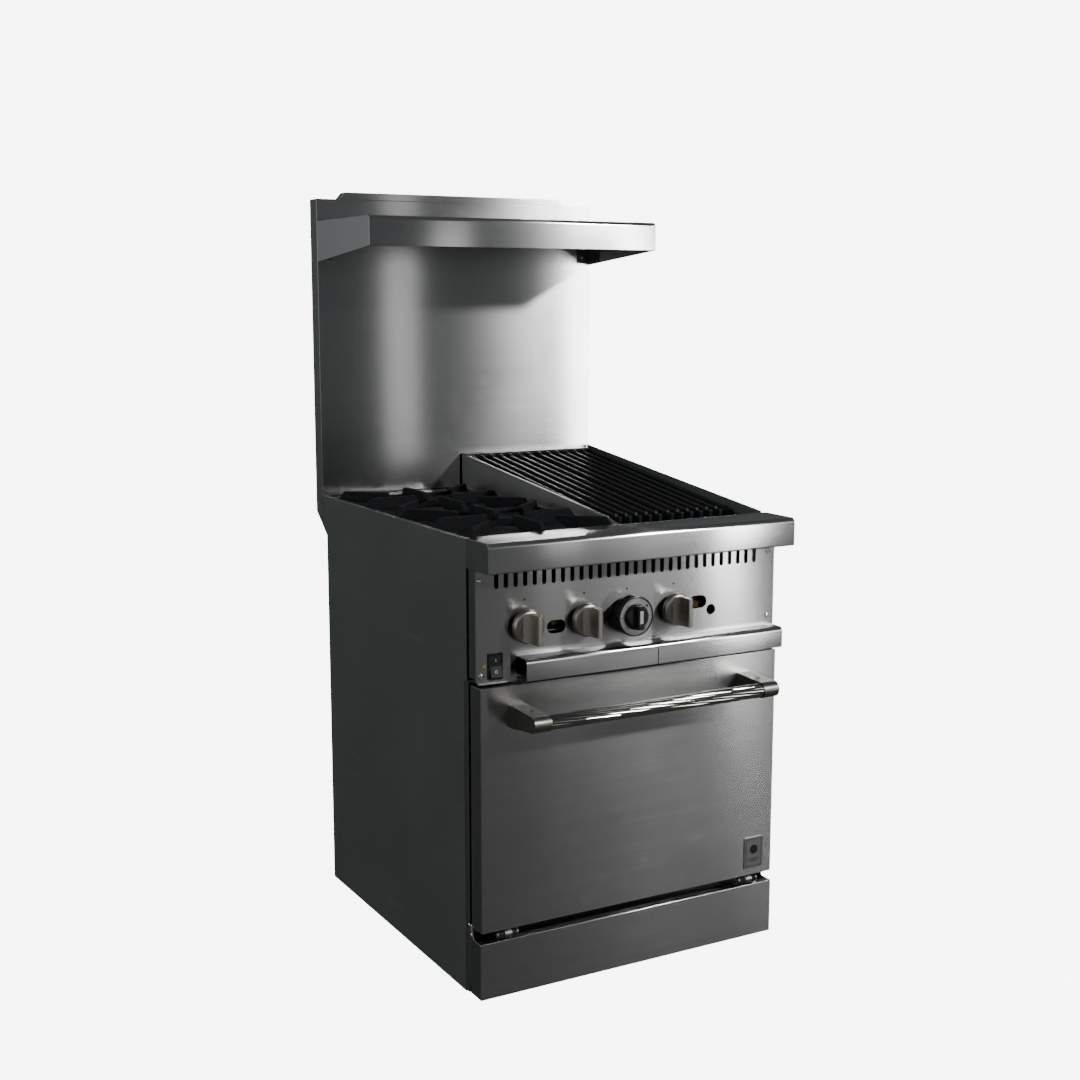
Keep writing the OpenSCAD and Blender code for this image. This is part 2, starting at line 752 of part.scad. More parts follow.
module landing_ledge() {
    low = deck_h + 2 - ledge_h;
    top = deck_h + 2;
    color("#b4b7b9") seated() {
        difference() {
            along_x([-half_w, half_w]) nose([-ledge_d, 0], [low, top], 9, 3);
            along_x([-half_w - 1, half_w + 1])
                nose([sheet - ledge_d, 1], [low + sheet, top - sheet], 9 - sheet, 3 - sheet);
            block([-half_w - 1, half_w + 1], [-ledge_d + 20, 1], [low - 1, low + sheet + 1]);
        }
        for (side = [-1, 1])
            along_x([side * half_w, side * (half_w - sheet)]) nose([-ledge_d, 0], [low, top], 9, 3);
    }
}

module panel_outline() {
    edge = half_w - 3;
    top = deck_h + 2 - sheet;
    step = 10;
    rect([-edge, edge], [tray_top, top]);
    rect([-edge, panel_step_x], [panel_low + step, tray_top]);
    rect([-edge + step, panel_step_x], [panel_low, panel_low + step]);
    translate([-edge + step, panel_low + step]) circle(r = step);
}

module control_panel() {
    edge = half_w - 3;
    face = -panel_out;
    top = deck_h + 2 - sheet;
    vent_pitch = (body_w - 89.6) / (vents - 1);
    color("#b4b7b9") seated() {
        along_y([face, face + sheet]) difference() {
            panel_outline();
            for (i = [0 : vents - 1])
                upright_slot(-half_w + 41.3 + i * vent_pitch, [deck_h - 82, deck_h - 20], vent_w);
            for (x = [front_knob_x, rear_knob_x, oven_knob_x, broiler_knob_x])
                translate([x, knob_z]) circle(r = stem_r + 3);
            level_slot(pilot_left_x, knob_z - 8, 36, 22.5);
            level_slot(pilot_right_x, knob_z + 6, 36, 23);
            translate([pilot_right_x + 28, knob_z - 10]) circle(r = 9.5);
            rect([rocker_x - 12.4, rocker_x + 12.4], [rocker_z - 21.9, rocker_z + 21.9]);
            translate([light_x, light_z]) circle(r = 2.6);
        }
        block([-edge, -edge + sheet], [face + sheet, 0], [panel_low + 10, top]);
        block([edge - sheet, edge], [face + sheet, 0], [tray_top, top]);
    }
}

module screw_head(place, turn = [90, 0, 0]) {
    translate(place) rotate(turn) difference() {
        rotate_extrude() polygon([[0, 0], [4.4, 0], [4.2, 1.2], [3, 2.2], [0, 2.5]]);
        for (turn = [0, 90]) rotate([0, 0, turn]) block([-2.2, 2.2], [-0.4, 0.4], [1.2, 3]);
    }
}

module sheet_screws() {
    face = -panel_out;
    color("#c9cbcc") seated() {
        screw_head([-half_w + 10, face, deck_h - 67]);
        screw_head([half_w - 18, face, deck_h - 64]);
        screw_head([-half_w + 12, face, panel_low + 15]);
        screw_head([half_w - 18, face, tray_top + 18]);
        for (side = [-1, 1], z = [shelf_z - shelf_root + 16, shelf_z - 20])
            screw_head([side * (inner - 16), guard_y - 2, z]);
        for (side = [-1, 1]) screw_head([side * (half_w - 3), -7, kick_h + 6], [0, side * 90, 0]);
    }
}

module power_light() {
    color("#d07a1e") seated() facing_front(light_x, -panel_out, light_z) {
        translate([0, 0, -14]) cylinder(r = 2.55, h = 14);
        cylinder(r = 3.2, h = 0.9);
        intersection() {
            translate([0, 0, -1]) sphere(r = 3.2);
            cylinder(r = 3.2, h = 3.2);
        }
    }
}

module rocker_housing() {
    face = -panel_out;
    x = [rocker_x - 13, rocker_x + 13];
    color("#17181a") seated() difference() {
        union() {
            along_y([face - 3, face]) round_rect(x, [rocker_z - 22.5, rocker_z + 22.5], 2);
            block([rocker_x - 12.4, rocker_x + 12.4], [face, face + 20],
                  [rocker_z - 21.9, rocker_z + 21.9]);
        }
        block([rocker_x - 10.7, rocker_x + 10.7], [face - 4, face + 17],
              [rocker_z - 20.4, rocker_z + 20.4]);
        rod([rocker_x - 12, face + 1, rocker_z], [rocker_x + 12, face + 1, rocker_z], 1.5 + fit_gap);
    }
}

module rocker() {
    color("#101113") seated() translate([rocker_x, 1 - panel_out, rocker_z]) rotate([rocker_rest, 0, 0]) {
        along_x([-10.2, 10.2]) polygon([
            [-6, -18.5], [-4, 0], [-6, 18.5], [-1, 18.5], [7, 11], [9, 0], [7, -11], [-1, -18.5]
        ]);
        rod([-11.8, 0, 0], [11.8, 0, 0], 1.5);
    }
}

module stem(reach) {
    translate([0, 0, -reach]) cylinder(r = stem_r, h = reach + 5);
}

module burner_knob(x) {
    bar = 17;
    color("#a39b94") seated() facing_front(x, -panel_out - knob_gap, knob_z) {
        rotate_extrude() polygon([
            [0, 0], [knob_r, 0], [knob_r, 7], [knob_r - 1.5, 9.5], [knob_r - 6, 12], [0, 12]
        ]);
        intersection() {
            block([-bar / 2, bar / 2], [-knob_r, knob_r], [0, knob_l]);
            rotate_extrude() polygon([
                [0, 0], [knob_r, 0], [knob_r, knob_l - 6], [knob_r - 2, knob_l - 1.5],
                [knob_r - 5, knob_l], [0, knob_l]
            ]);
        }
        stem(panel_out + knob_gap - 3);
    }
}

module knob_front() { burner_knob(front_knob_x); }
module knob_rear() { burner_knob(rear_knob_x); }
module knob_broiler() { burner_knob(broiler_knob_x); }

module thermostat_knob() {
    core_r = 22.5;
    rim = knob_l - 17;
    color("#1b1c1e") seated() facing_front(oven_knob_x, -panel_out - dial_gap, knob_z) {
        rotate_extrude() polygon([
            [0, 0], [dial_r - 5, 0], [dial_r, rim - 7], [dial_r, rim - 2], [dial_r - 2, rim], [core_r, rim],
            [core_r, rim + 5], [core_r - 2, rim + 8], [0, rim + 8]
        ]);
        intersection() {
            block([-7, 7], [-core_r, core_r], [rim, knob_l]);
            rotate_extrude() polygon([
                [0, 0], [core_r, 0], [core_r, knob_l - 4], [core_r - 3, knob_l], [0, knob_l]
            ]);
        }
        stem(panel_out + dial_gap - 3);
    }
}

// ---- trays ----

module pull_tray(x) {
    front = -panel_out - 29;
    wall = [x[0] + 5, x[1] - 5];
    color("#a9acae") seated() {
        along_x(x) difference() {
            nose([front, -panel_out - touch - 0.1], [tray_low, tray_top], 8, 0.5);
            nose([front + sheet, 1], [tray_low - 5, tray_top - sheet], 8 - sheet, 0.5);
        }
        difference() {
            block(wall, [front + sheet / 2, tray_back], [tray_floor, tray_top - 8]);
            block([wall[0] + sheet, wall[1] - sheet], [front, tray_back - sheet],
                  [tray_floor + sheet, tray_top]);
            block([x[0] - 1, x[1] + 1], [front, 0], [tray_floor + sheet, tray_top]);
        }
    }
}

module crumb_tray() { pull_tray([lip_left_x, lip_mid_x - 0.5]); }
module drip_tray() { pull_tray([lip_mid_x + 0.5, half_w - 3]); }

module tray_rails() {
    top = tray_floor - touch;
    edges = [[lip_left_x, 1], [lip_mid_x - 0.5, -1], [lip_mid_x + 0.5, 1], [half_w - 3, -1]];
    color("#7a7e80") seated() {
        for (e = edges) {
            block([e[0] + e[1] * 2.8, e[0] + e[1] * 16], [0, tray_back + 3], [top - sheet, top]);
            block([e[0] + e[1] * 2.8, e[0] + e[1] * 4.3], [0, tray_back + 3], [top - sheet, top + 14]);
            block([e[0] + e[1] * 2.8, e[0] + e[1] * 16], [0, 2], [frame_top, top]);
        }
        block([-inner, inner], [tray_back + 3, tray_back + 6], [top - sheet, top + 14]);
    }
}

// ---- backguard and shelf ----

module backguard_front() {
    color("#b4b7b9") seated() {
        block([-half_w, half_w], [guard_y, guard_y + sheet], [deck_h, guard_top]);
        difference() {
            block([-half_w, half_w], [guard_y, guard_back], [guard_top - sheet, guard_top]);
            block([-half_w + 60, half_w - 70], [guard_y + 9, guard_back - 9],
                  [guard_top - 5, guard_top + 1]);
        }
    }
}

module backguard_shell() {
    front = guard_y + sheet;
    color("#2f3233") seated() {
        for (side = [-1, 1])
            along_x([side * half_w, side * inner]) polygon([
                [front, foot_z(front)], [front, guard_top - sheet], [guard_back, guard_top - sheet],
                [guard_back, foot_high]
            ]);
        block([-inner, inner], [guard_back - sheet, guard_back], [foot_high, guard_top - sheet]);
        along_x([-inner, inner]) polygon([
            [body_d, foot_low], [guard_back, foot_high], [guard_back, foot_high + 2], [body_d, foot_low + 2]
        ]);
    }
}

module flue_cap() {
    cap_h = 14;
    lean = 12;
    left = -half_w + 50;
    right = half_w - 60;
    color("#b4b7b9") seated() difference() {
        along_y([guard_y + 5, guard_back - 4]) polygon([
            [left, guard_top], [left + lean, guard_top + cap_h], [right - lean, guard_top + cap_h],
            [right, guard_top]
        ]);
        along_y([guard_y + 5 + sheet, guard_back]) polygon([
            [left + 3, guard_top - 1], [left + lean + 1, guard_top + cap_h - sheet],
            [right - lean - 1, guard_top + cap_h - sheet], [right - 3, guard_top - 1]
        ]);
    }
}

module shelf_outline(inset) {
    top = shelf_z - inset;
    front = shelf_y + inset;
    bend = 8 - inset;
    difference() {
        union() {
            rect([front + bend, guard_y - inset], [top - shelf_root - inset, top]);
            rect([front, front + bend], [top - shelf_root, top - bend]);
            translate([front + bend, top - bend]) circle(r = bend);
        }
        if (inset == 0) polygon([
            [shelf_y - 1, shelf_z - shelf_lip], [guard_y + 1, shelf_z - shelf_root],
            [guard_y + 1, shelf_z - shelf_root - 10], [shelf_y - 1, shelf_z - shelf_root - 10]
        ]);
    }
}

module high_shelf() {
    color("#b4b7b9") seated() difference() {
        along_x([-half_w, half_w]) shelf_outline(0);
        along_x([-inner, inner]) difference() {
            shelf_outline(sheet);
            rect([guard_y - sheet - 1, guard_y], [shelf_z - 12, shelf_z]);
        }
        block([-inner, inner], [guard_y - sheet - 1, guard_y + 1],
              [shelf_z - shelf_root - 5, shelf_z - 12]);
    }
}

module shelf_brackets() {
    top = shelf_z - 14;
    low = shelf_z - shelf_root + 4;
    color("#3a3d3e") seated() for (side = [-1, 1]) {
        along_x([side * inner, side * (inner - 2)]) polygon([
            [guard_y - 90, top], [guard_y, top], [guard_y, low], [guard_y - 20, low]
        ]);
        block([side * (inner - 2), side * (inner - 28)], [guard_y - 2, guard_y], [low, top]);
    }
}

// ---- door ----

module door_skin() {
    t = sheet;
    color("#b4b7b9") seated() difference() {
        block([-door_half, door_half], [door_face, -door_gap - t], [door_low, door_top]);
        block([-door_half + t, door_half - t], [door_face + t, 0], [door_low + t, door_top - t]);
    }
}

module door_liner() {
    plug_x = cavity_half - 9;
    plug_z = [mouth_low + 10, cavity_top - 10];
    color("#4c5052") seated() difference() {
        union() {
            block([-door_half, door_half], [-door_gap - sheet, -door_gap], [door_low, door_top]);
            block([-plug_x, plug_x], [-door_gap - sheet, 9], plug_z);
        }
        block([-plug_x + sheet, plug_x - sheet], [-door_gap - sheet - 1, 9 - sheet],
              [plug_z[0] + sheet, plug_z[1] - sheet]);
    }
}

module door_insulation() {
    color("#c9c08f") seated()
        block([-door_half + 6, door_half - 6], [door_face + sheet, -door_gap - sheet],
              [door_low + 6, door_top - 6]);
}

module door_gasket() {
    in_x = cavity_half + 4;
    color("#2a2b2c") seated() difference() {
        block([-in_x - 9, in_x + 9], [-door_gap, -touch], [mouth_low - 13, cavity_top + 13]);
        block([-in_x, in_x], [-door_gap - 1, 0], [mouth_low - 4, cavity_top + 4]);
    }
}

module door_handle() {
    color("#aeb1b3") seated()
        rod([-handle_half + 2, handle_y, handle_z], [handle_half - 2, handle_y, handle_z], handle_r);
}

module handle_brackets() {
    wide = 30;
    color("#a5a8aa") seated() for (side = [-1, 1]) difference() {
        union() {
            along_x([side * handle_half, side * (handle_half - wide)]) polygon([
                [door_face, handle_z - 22], [door_face, handle_z + 16], [handle_y, handle_z + handle_r + 1],
                [handle_y, handle_z - handle_r - 1]
            ]);
            rod([side * handle_half, handle_y, handle_z],
                [side * (handle_half - wide - 2), handle_y, handle_z], handle_r + ferrule);
        }
        rod([side * (handle_half - 2), handle_y, handle_z], [side * (handle_half - 40), handle_y, handle_z],
            handle_r);
        rod([side * (handle_half - 15), handle_y + 26, handle_z + 9],
            [side * (handle_half - 15), handle_y + 26, handle_z + 20], 3);
    }
}

module badge_plate() {
    color("#8e9192") seated() along_y([door_face - 2, door_face])
        round_rect([half_w - 66.5, half_w - 25], [door_low + 13.5, door_low + 72], 1.5);
}

module hinge_brackets() {
    color("#7d8082") seated() for (side = [-1, 1]) {
        for (ear = [-1, 1])
            along_x([side * hinge_x + ear * 3.5, side * hinge_x + ear * 6.5]) {
                translate([pivot_y, pivot_z]) circle(r = 7);
                rect([pivot_y, 0], [pivot_z - 7, pivot_z + 4]);
            }
        block([side * hinge_x - 14, side * hinge_x + 14], [-2, 0], [pivot_z - 9, pivot_z + 6]);
        rod([side * hinge_x - 20, pivot_y, pivot_z], [side * hinge_x + 20, pivot_y, pivot_z], 4);
    }
}

module hinge_springs() {
    color("#8f9294") seated() for (side = [-1, 1], end = [-1, 1]) difference() {
        rod([side * hinge_x + end * 6.5, pivot_y, pivot_z],
            [side * hinge_x + end * 18, pivot_y, pivot_z], 6.8);
        rod([side * hinge_x + end * 6, pivot_y, pivot_z], [side * hinge_x + end * 19, pivot_y, pivot_z], 4);
    }
}

module hinge_arms() {
    color("#6f7274") seated() for (side = [-1, 1]) difference() {
        union() {
            block([side * hinge_x - 12, side * hinge_x + 12], [pivot_y - 2, -door_gap - 5],
                  [door_low - 1.5, door_low]);
            rod([side * hinge_x - 3, pivot_y, pivot_z], [side * hinge_x + 3, pivot_y, pivot_z], 7.5);
            block([side * hinge_x - 3, side * hinge_x + 3], [pivot_y - 5, pivot_y + 5],
                  [pivot_z, door_low]);
        }
        rod([side * hinge_x - 4, pivot_y, pivot_z], [side * hinge_x + 4, pivot_y, pivot_z], 4 + fit_gap);
    }
}

side_panel_left();
side_panel_right();
back_panel();
base_frame();
front_frame();
oven_liner();
oven_insulation();
oven_floor();
rack_guides();
oven_rack();
oven_burner();
oven_flue();
cooktop_deck();
top_burners();
burner_caps();
pilot_lines();
gas_manifold();
gas_valves();
oven_thermostat();
gas_feed_pipe();
broiler_left_panel();
broiler_right_panel();
broiler_firebox();
broiler_burners();
broiler_radiants();
broiler_grate_left();
broiler_grate_right();
burner_grate_front();
burner_grate_rear();
landing_ledge();
control_panel();
sheet_screws();
power_light();
rocker_housing();
rocker();
knob_front();
knob_rear();
knob_broiler();
thermostat_knob();
crumb_tray();
drip_tray();
tray_rails();
backguard_front();
backguard_shell();
flue_cap();
high_shelf();
shelf_brackets();
hinge_brackets();
hinge_springs();
kick_plate();
cord_gland();
door_skin();
door_liner();
door_insulation();
door_gasket();
door_handle();
handle_brackets();
badge_plate();
hinge_arms();
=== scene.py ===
"""Commercial gas range with open burners, an inclined broiler, an oven and a high shelf."""

import json
import math

import bmesh
import bpy
from bpy.props import FloatProperty, FloatVectorProperty, IntProperty, PointerProperty
from bpy.types import Operator, Panel, PropertyGroup
from mathutils import Matrix, Vector


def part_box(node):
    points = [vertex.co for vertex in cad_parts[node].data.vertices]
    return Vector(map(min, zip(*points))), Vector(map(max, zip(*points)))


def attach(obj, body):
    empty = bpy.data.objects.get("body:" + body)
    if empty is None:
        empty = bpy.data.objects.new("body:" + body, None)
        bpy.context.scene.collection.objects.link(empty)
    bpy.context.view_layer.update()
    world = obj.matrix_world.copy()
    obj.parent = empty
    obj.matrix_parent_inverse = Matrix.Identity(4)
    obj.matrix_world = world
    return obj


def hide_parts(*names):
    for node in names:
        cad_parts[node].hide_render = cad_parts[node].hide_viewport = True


bl_info = {
    "name": "Gas Range",
    "version": (1, 0, 0),
    "blender": (4, 5, 0),
    "location": "View3D > Sidebar > Gas Range",
    "description": "Finishes a commercial gas range: sheet steel, cast iron, controls and a studio",
    "category": "Object",
}

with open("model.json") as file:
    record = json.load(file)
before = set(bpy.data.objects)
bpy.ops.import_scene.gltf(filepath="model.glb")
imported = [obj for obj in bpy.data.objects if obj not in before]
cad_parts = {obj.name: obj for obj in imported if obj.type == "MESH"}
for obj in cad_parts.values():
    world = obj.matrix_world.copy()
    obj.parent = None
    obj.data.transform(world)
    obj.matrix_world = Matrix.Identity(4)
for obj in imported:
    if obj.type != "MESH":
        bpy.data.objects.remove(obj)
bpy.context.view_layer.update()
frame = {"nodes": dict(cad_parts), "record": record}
NODES = frame["nodes"]
RECORD = frame["record"]
BODY_OF = {node: body for body, group in RECORD["behaviour"]["bodies"].items() for node in group}
SLOT_OF = {part["node"]: part["material_slot"] for part in RECORD["subparts"]}

CONTROL_REACH = 0.046  # from the foot of a knob or of the dial to the end of its grip
SHARP_CORNER = math.radians(32)  # corners past this angle are shaded sharp
BARE_EDGE_Z = 0.7812  # the left side's folded edge is unpainted above this height


# ---- shader maths ----


class Value:
    """A node's output socket that takes part in sums and products."""

    def __init__(self, shade, socket):
        self.shade, self.socket = shade, socket

    def _math(self, operation, *values):
        return self.shade.node("ShaderNodeMath", {"operation": operation}, dict(enumerate(values)))

    def __add__(self, other):
        return self._math("ADD", self, other)

    __radd__ = __add__

    def __sub__(self, other):
        return self._math("SUBTRACT", self, other)

    def __rsub__(self, other):
        return self._math("SUBTRACT", other, self)

    def __mul__(self, other):
        return self._math("MULTIPLY", self, other)

    __rmul__ = __mul__

    def __gt__(self, other):
        return self._math("GREATER_THAN", self, other)

    def __lt__(self, other):
        return self._math("LESS_THAN", self, other)

    def sine(self):
        return self._math("SINE", self)

    def within(self, low, high):
        """0 below low, 1 above high and an even slope between them."""
        return self.shade.node(
            "ShaderNodeMapRange", {"clamp": True}, {"Value": self, "From Min": low, "From Max": high}
        )


class Shade:
    """A material under construction."""

    def __init__(self, name):
        self.material = bpy.data.materials.new(name)
        self.material.use_nodes = True
        self.tree = self.material.node_tree
        self.tree.nodes.clear()
        output = self.tree.nodes.new("ShaderNodeOutputMaterial")
        self.surface = self.tree.nodes.new("ShaderNodeBsdfPrincipled")
        self.tree.links.new(self.surface.outputs[0], output.inputs["Surface"])
        place = self.tree.nodes.new("ShaderNodeTexCoord").outputs["Object"]
        self.place = Value(self, place)
        split = self.tree.nodes.new("ShaderNodeSeparateXYZ")
        self.tree.links.new(place, split.inputs[0])
        self.x, self.y, self.z = (Value(self, socket) for socket in split.outputs)

    def node(self, kind, settings=None, values=None, out=0):
        """Adds a node: its settings first, then the values or links of its sockets."""
        made = self.tree.nodes.new(kind)
        for name, setting in (settings or {}).items():
            if name == "stops":
                ramp = made.color_ramp
                while len(ramp.elements) < len(setting):
                    ramp.elements.new(0.5)
                for element, (position, colour) in zip(ramp.elements, setting):
                    element.position, element.color = position, colour
            else:
                setattr(made, name, setting)
        for name, value in (values or {}).items():
            socket = made.inputs[name]
            if isinstance(value, Value):
                self.tree.links.new(value.socket, socket)
            else:
                socket.default_value = value
        return Value(self, made.outputs[out])

    def stretched(self, x, y, z):
        """The object's coordinates, scaled along each axis."""
        return self.node("ShaderNodeCombineXYZ", values={0: self.x * x, 1: self.y * y, 2: self.z * z})

    def noise(self, scale, detail=3.0, roughness=0.55, at=None):
        return self.node("ShaderNodeTexNoise", None, {
            "Vector": at or self.place, "Scale": scale, "Detail": detail, "Roughness": roughness,
        })

    def cells(self, scale, out=0):
        """Voronoi cells: the distance from their middles, or their colours with out 1."""
        return self.node("ShaderNodeTexVoronoi", {"feature": "F1"}, {"Vector": self.place, "Scale": scale}, out)

    def mix(self, factor, first, second):
        """A blend of two colours."""
        return self.node("ShaderNodeMix", {"data_type": "RGBA"}, {0: factor, 6: first, 7: second}, out=2)

    def height(self, value, distance, strength=1.0, after=None):
        """A bump of a value, on top of another bump where one is given."""
        values = {"Height": value, "Distance": distance, "Strength": strength}
        if after is not None:
            values["Normal"] = after
        return self.node("ShaderNodeBump", None, values)

    def finish(self, **values):
        """Sets or links the surface's sockets. An underscore stands for a space."""
        for name, value in values.items():
            socket = self.surface.inputs[name.replace("_", " ")]
            if isinstance(value, Value):
                self.tree.links.new(value.socket, socket)
            else:
                socket.default_value = value
        return self.material


def rgba(colour, by=1.0):
    """A colour with its alpha, made lighter or darker."""
    return tuple(min(1.0, c * by) for c in colour[:3]) + (1.0,)


# ---- finishes ----


def brushed(name, colour, rough, grain="x", fine=1.0, stretch=0.6):
    """Sheet steel with its grain along one axis, faint streaks and hand smudges."""
    s = Shade(name)
    along, across = 9.0, 900.0
    reach = {
        "x": (along, across, across), "y": (across, along, across), "z": (across, across, along),
    }[grain]
    lines = s.noise(1.0, 2.0, 0.6, s.stretched(*reach))
    streaks = s.noise(1.0, 3.0, 0.5, s.stretched(*(r * 0.16 for r in reach)))
    smudge = s.noise(4.0, 3.0, 0.5).within(0.35, 0.8)
    rubbed = s.noise(31.0, 2.0, 0.5).within(0.58, 0.8)
    specks = (s.cells(95.0) < 0.035) * s.noise(9.0).within(0.5, 0.62)
    tone = s.mix(streaks * 0.7 + lines * 0.3, rgba(colour, 0.92), rgba(colour, 1.07))
    tone = s.mix(smudge * 0.1, tone, rgba(colour, 0.72))
    tone = s.mix(specks * 0.3, tone, rgba(colour, 0.6))
    return s.finish(
        Base_Color=tone, Metallic=1.0, Anisotropic=stretch, Anisotropic_Rotation=0.25 if grain == "x" else 0.0,
        Roughness=streaks * 0.016 + lines * 0.012 * fine + smudge * 0.02 + rubbed * 0.01 + (rough - 0.025),
        Normal=s.height(lines, 0.00002, 0.12 * fine, s.height(s.noise(2.6, 1.0), 0.004, 0.010)),
    )


def polished(name, colour, rough=0.05):
    """Turned and buffed steel."""
    s = Shade(name)
    haze = s.noise(60.0, 3.0).within(0.35, 0.7)
    return s.finish(
        Base_Color=s.mix(haze * 0.35, rgba(colour), rgba(colour, 0.8)), Metallic=1.0,
        Roughness=haze * 0.035 + rough, Normal=s.height(s.noise(400.0, 2.0), 0.00001, 0.05),
    )


def cast_bracket(name, colour):
    """Satin cast metal, a little grained by its finishing belt."""
    s = Shade(name)
    belt = s.noise(1.0, 3.0, 0.6, s.stretched(500.0, 40.0, 500.0))
    patch = s.noise(45.0, 3.0).within(0.35, 0.7)
    return s.finish(
        Base_Color=s.mix(patch * 0.5, rgba(colour), rgba(colour, 0.78)), Metallic=1.0,
        Roughness=belt * 0.12 + patch * 0.06 + 0.26, Normal=s.height(belt, 0.00004, 0.3),
    )


def painted(name, colour, bare_above=None):
    """Satin powder coat with a faint orange peel; the folded edge above a height stays bare."""
    s = Shade(name)
    peel = s.noise(520.0, 2.0)
    cloud = s.noise(3.5, 4.0, 0.6).within(0.3, 0.7)
    rub = s.noise(1.0, 3.0, 0.6, s.stretched(40.0, 6.0, 70.0)).within(0.62, 0.74)
    dust = s.noise(240.0, 4.0, 0.7).within(0.6, 0.74) * cloud
    tone = s.mix(cloud * 0.5, rgba(colour, 0.88), rgba(colour, 1.14))
    tone = s.mix(rub * 0.2 + dust * 0.1, tone, rgba(colour, 2.1))
    rough = cloud * 0.08 + rub * 0.06 + 0.38
    metal = 0.0
    if bare_above is not None:
        bare = s.z > bare_above
        grain = s.noise(1.0, 2.0, 0.5, s.stretched(60.0, 9.0, 60.0))
        steel = s.mix(grain, (0.42, 0.43, 0.42, 1), (0.62, 0.62, 0.61, 1))
        tone = s.mix(bare, tone, steel)
        rough = rough - bare * 0.12
        metal = bare
    return s.finish(
        Base_Color=tone, Roughness=rough, Metallic=metal, Specular_IOR_Level=0.45,
        Normal=s.height(peel, 0.00006, 0.35),
    )


def galvanised(name, colour):
    """Zinc coat with crystal patches."""
    s = Shade(name)
    flakes = s.cells(70.0, out=1)
    light = s.node("ShaderNodeSeparateColor", None, {0: flakes}, out=0)
    dull = s.noise(6.0, 4.0, 0.6).within(0.35, 0.7)
    tone = s.mix(light * 0.5, rgba(colour, 0.8), rgba(colour, 1.12))
    return s.finish(
        Base_Color=s.mix(dull * 0.3, tone, rgba(colour, 0.68)), Metallic=1.0,
        Roughness=light * 0.1 + dull * 0.12 + 0.36, Normal=s.height(light, 0.00003, 0.3),
    )


def enamel(name, colour):
    """Dark porcelain enamel with fine pale specks and soft waviness."""
    s = Shade(name)
    specks = (s.cells(420.0) < 0.12) * s.noise(60.0).within(0.45, 0.6)
    wave = s.noise(24.0, 2.0)
    baked = s.noise(5.0, 4.0, 0.6).within(0.45, 0.75)
    tone = s.mix(specks * 0.5, rgba(colour), rgba(colour, 4.0))
    return s.finish(
        Base_Color=s.mix(baked * 0.35, tone, (0.03, 0.022, 0.016, 1)),
        Roughness=baked * 0.2 + 0.2, Normal=s.height(wave, 0.0006, 0.12),
    )


def cast_iron(name, colour, rough=0.5, rust=0.12, sheen=0.45):
    """Black-coated castings: sand texture, worn crests and a trace of brown."""
    s = Shade(name)
    sand = s.noise(620.0, 5.0, 0.7)
    lumps = s.noise(110.0, 3.0, 0.55)
    brown = s.noise(38.0, 4.0, 0.65).within(0.58, 0.78)
    worn = lumps.within(0.56, 0.74)
    tone = s.mix(worn * 0.55, rgba(colour), rgba(colour, 1.9))
    tone = s.mix(brown * rust, tone, (0.085, 0.042, 0.022, 1))
    return s.finish(
        Base_Color=tone, Roughness=sand * 0.14 + brown * 0.14 - worn * 0.06 + (rough - 0.07),
        Specular_IOR_Level=sheen,
        Normal=s.height(sand, 0.00018, 0.5, s.height(lumps, 0.0006, 0.3)),
    )


def satin_knob(name, colour):
    """Die-cast knob metal with a soft vertical grain."""
    s = Shade(name)
    grain = s.noise(1.0, 3.0, 0.6, s.stretched(620.0, 620.0, 24.0))
    cloud = s.noise(60.0, 3.0).within(0.35, 0.7)
    tone = s.mix(cloud * 0.4, rgba(colour), rgba(colour, 0.84))
    return s.finish(
        Base_Color=s.mix(grain * 0.3, tone, rgba(colour, 1.16)), Metallic=1.0,
        Roughness=grain * 0.1 + cloud * 0.06 + 0.29, Normal=s.height(grain, 0.00004, 0.3),
    )


def plastic(name, colour, rough, grit=0.0002):
    """Moulded plastic with a fine spark texture and light handling marks."""
    s = Shade(name)
    spark = s.noise(900.0, 3.0, 0.6)
    touch = s.noise(55.0, 4.0, 0.6).within(0.5, 0.75)
    return s.finish(
        Base_Color=s.mix(touch * 0.4, rgba(colour), rgba(colour, 1.5)),
        Roughness=touch * 0.12 + spark * 0.06 + rough, Normal=s.height(spark, grit, 0.2),
    )


def dial_face(name, colour):
    """Printed aluminium ring, spun so that its grain runs round the axis."""
    s = Shade(name)
    grain = s.noise(1.0, 3.0, 0.6, s.stretched(260.0, 20.0, 260.0))
    return s.finish(
        Base_Color=s.mix(grain * 0.6, rgba(colour, 0.8), rgba(colour, 1.15)), Metallic=0.9,
        Roughness=grain * 0.12 + 0.28, Normal=s.height(grain, 0.00003, 0.25),
    )


def ink_and_painted_shade(name, colour, rough=0.5):
    """Printed ink with a fine grit; in near black it also serves as the painted shade inside the small holes above
    the controls.
    """
    s = Shade(name)
    grit = s.noise(1500.0, 3.0)
    return s.finish(
        Base_Color=s.mix(grit * 0.5, rgba(colour, 0.8), rgba(colour)), Roughness=grit * 0.15 + rough,
        Normal=s.height(grit, 0.00002, 0.2),
    )


def lamp_lens(name, colour):
    """Amber lens with ribs inside."""
    s = Shade(name)
    rib = (s.x * 4200.0).sine() * (s.z * 4200.0).sine()
    return s.finish(
        Base_Color=s.mix(rib * 0.5 + 0.5, rgba(colour, 0.55), rgba(colour)), Roughness=rib * 0.03 + 0.14,
        Coat_Weight=0.6, Normal=s.height(rib, 0.0002, 0.3),
    )


def wool(name, colour):
    """Tufted mineral wool."""
    s = Shade(name)
    fibre = s.noise(260.0, 6.0, 0.75)
    tuft = s.noise(40.0, 4.0, 0.6)
    return s.finish(
        Base_Color=s.mix(tuft, rgba(colour, 0.7), rgba(colour, 1.1)), Roughness=fibre * 0.1 + 0.88,
        Normal=s.height(fibre, 0.002, 0.6),
    )


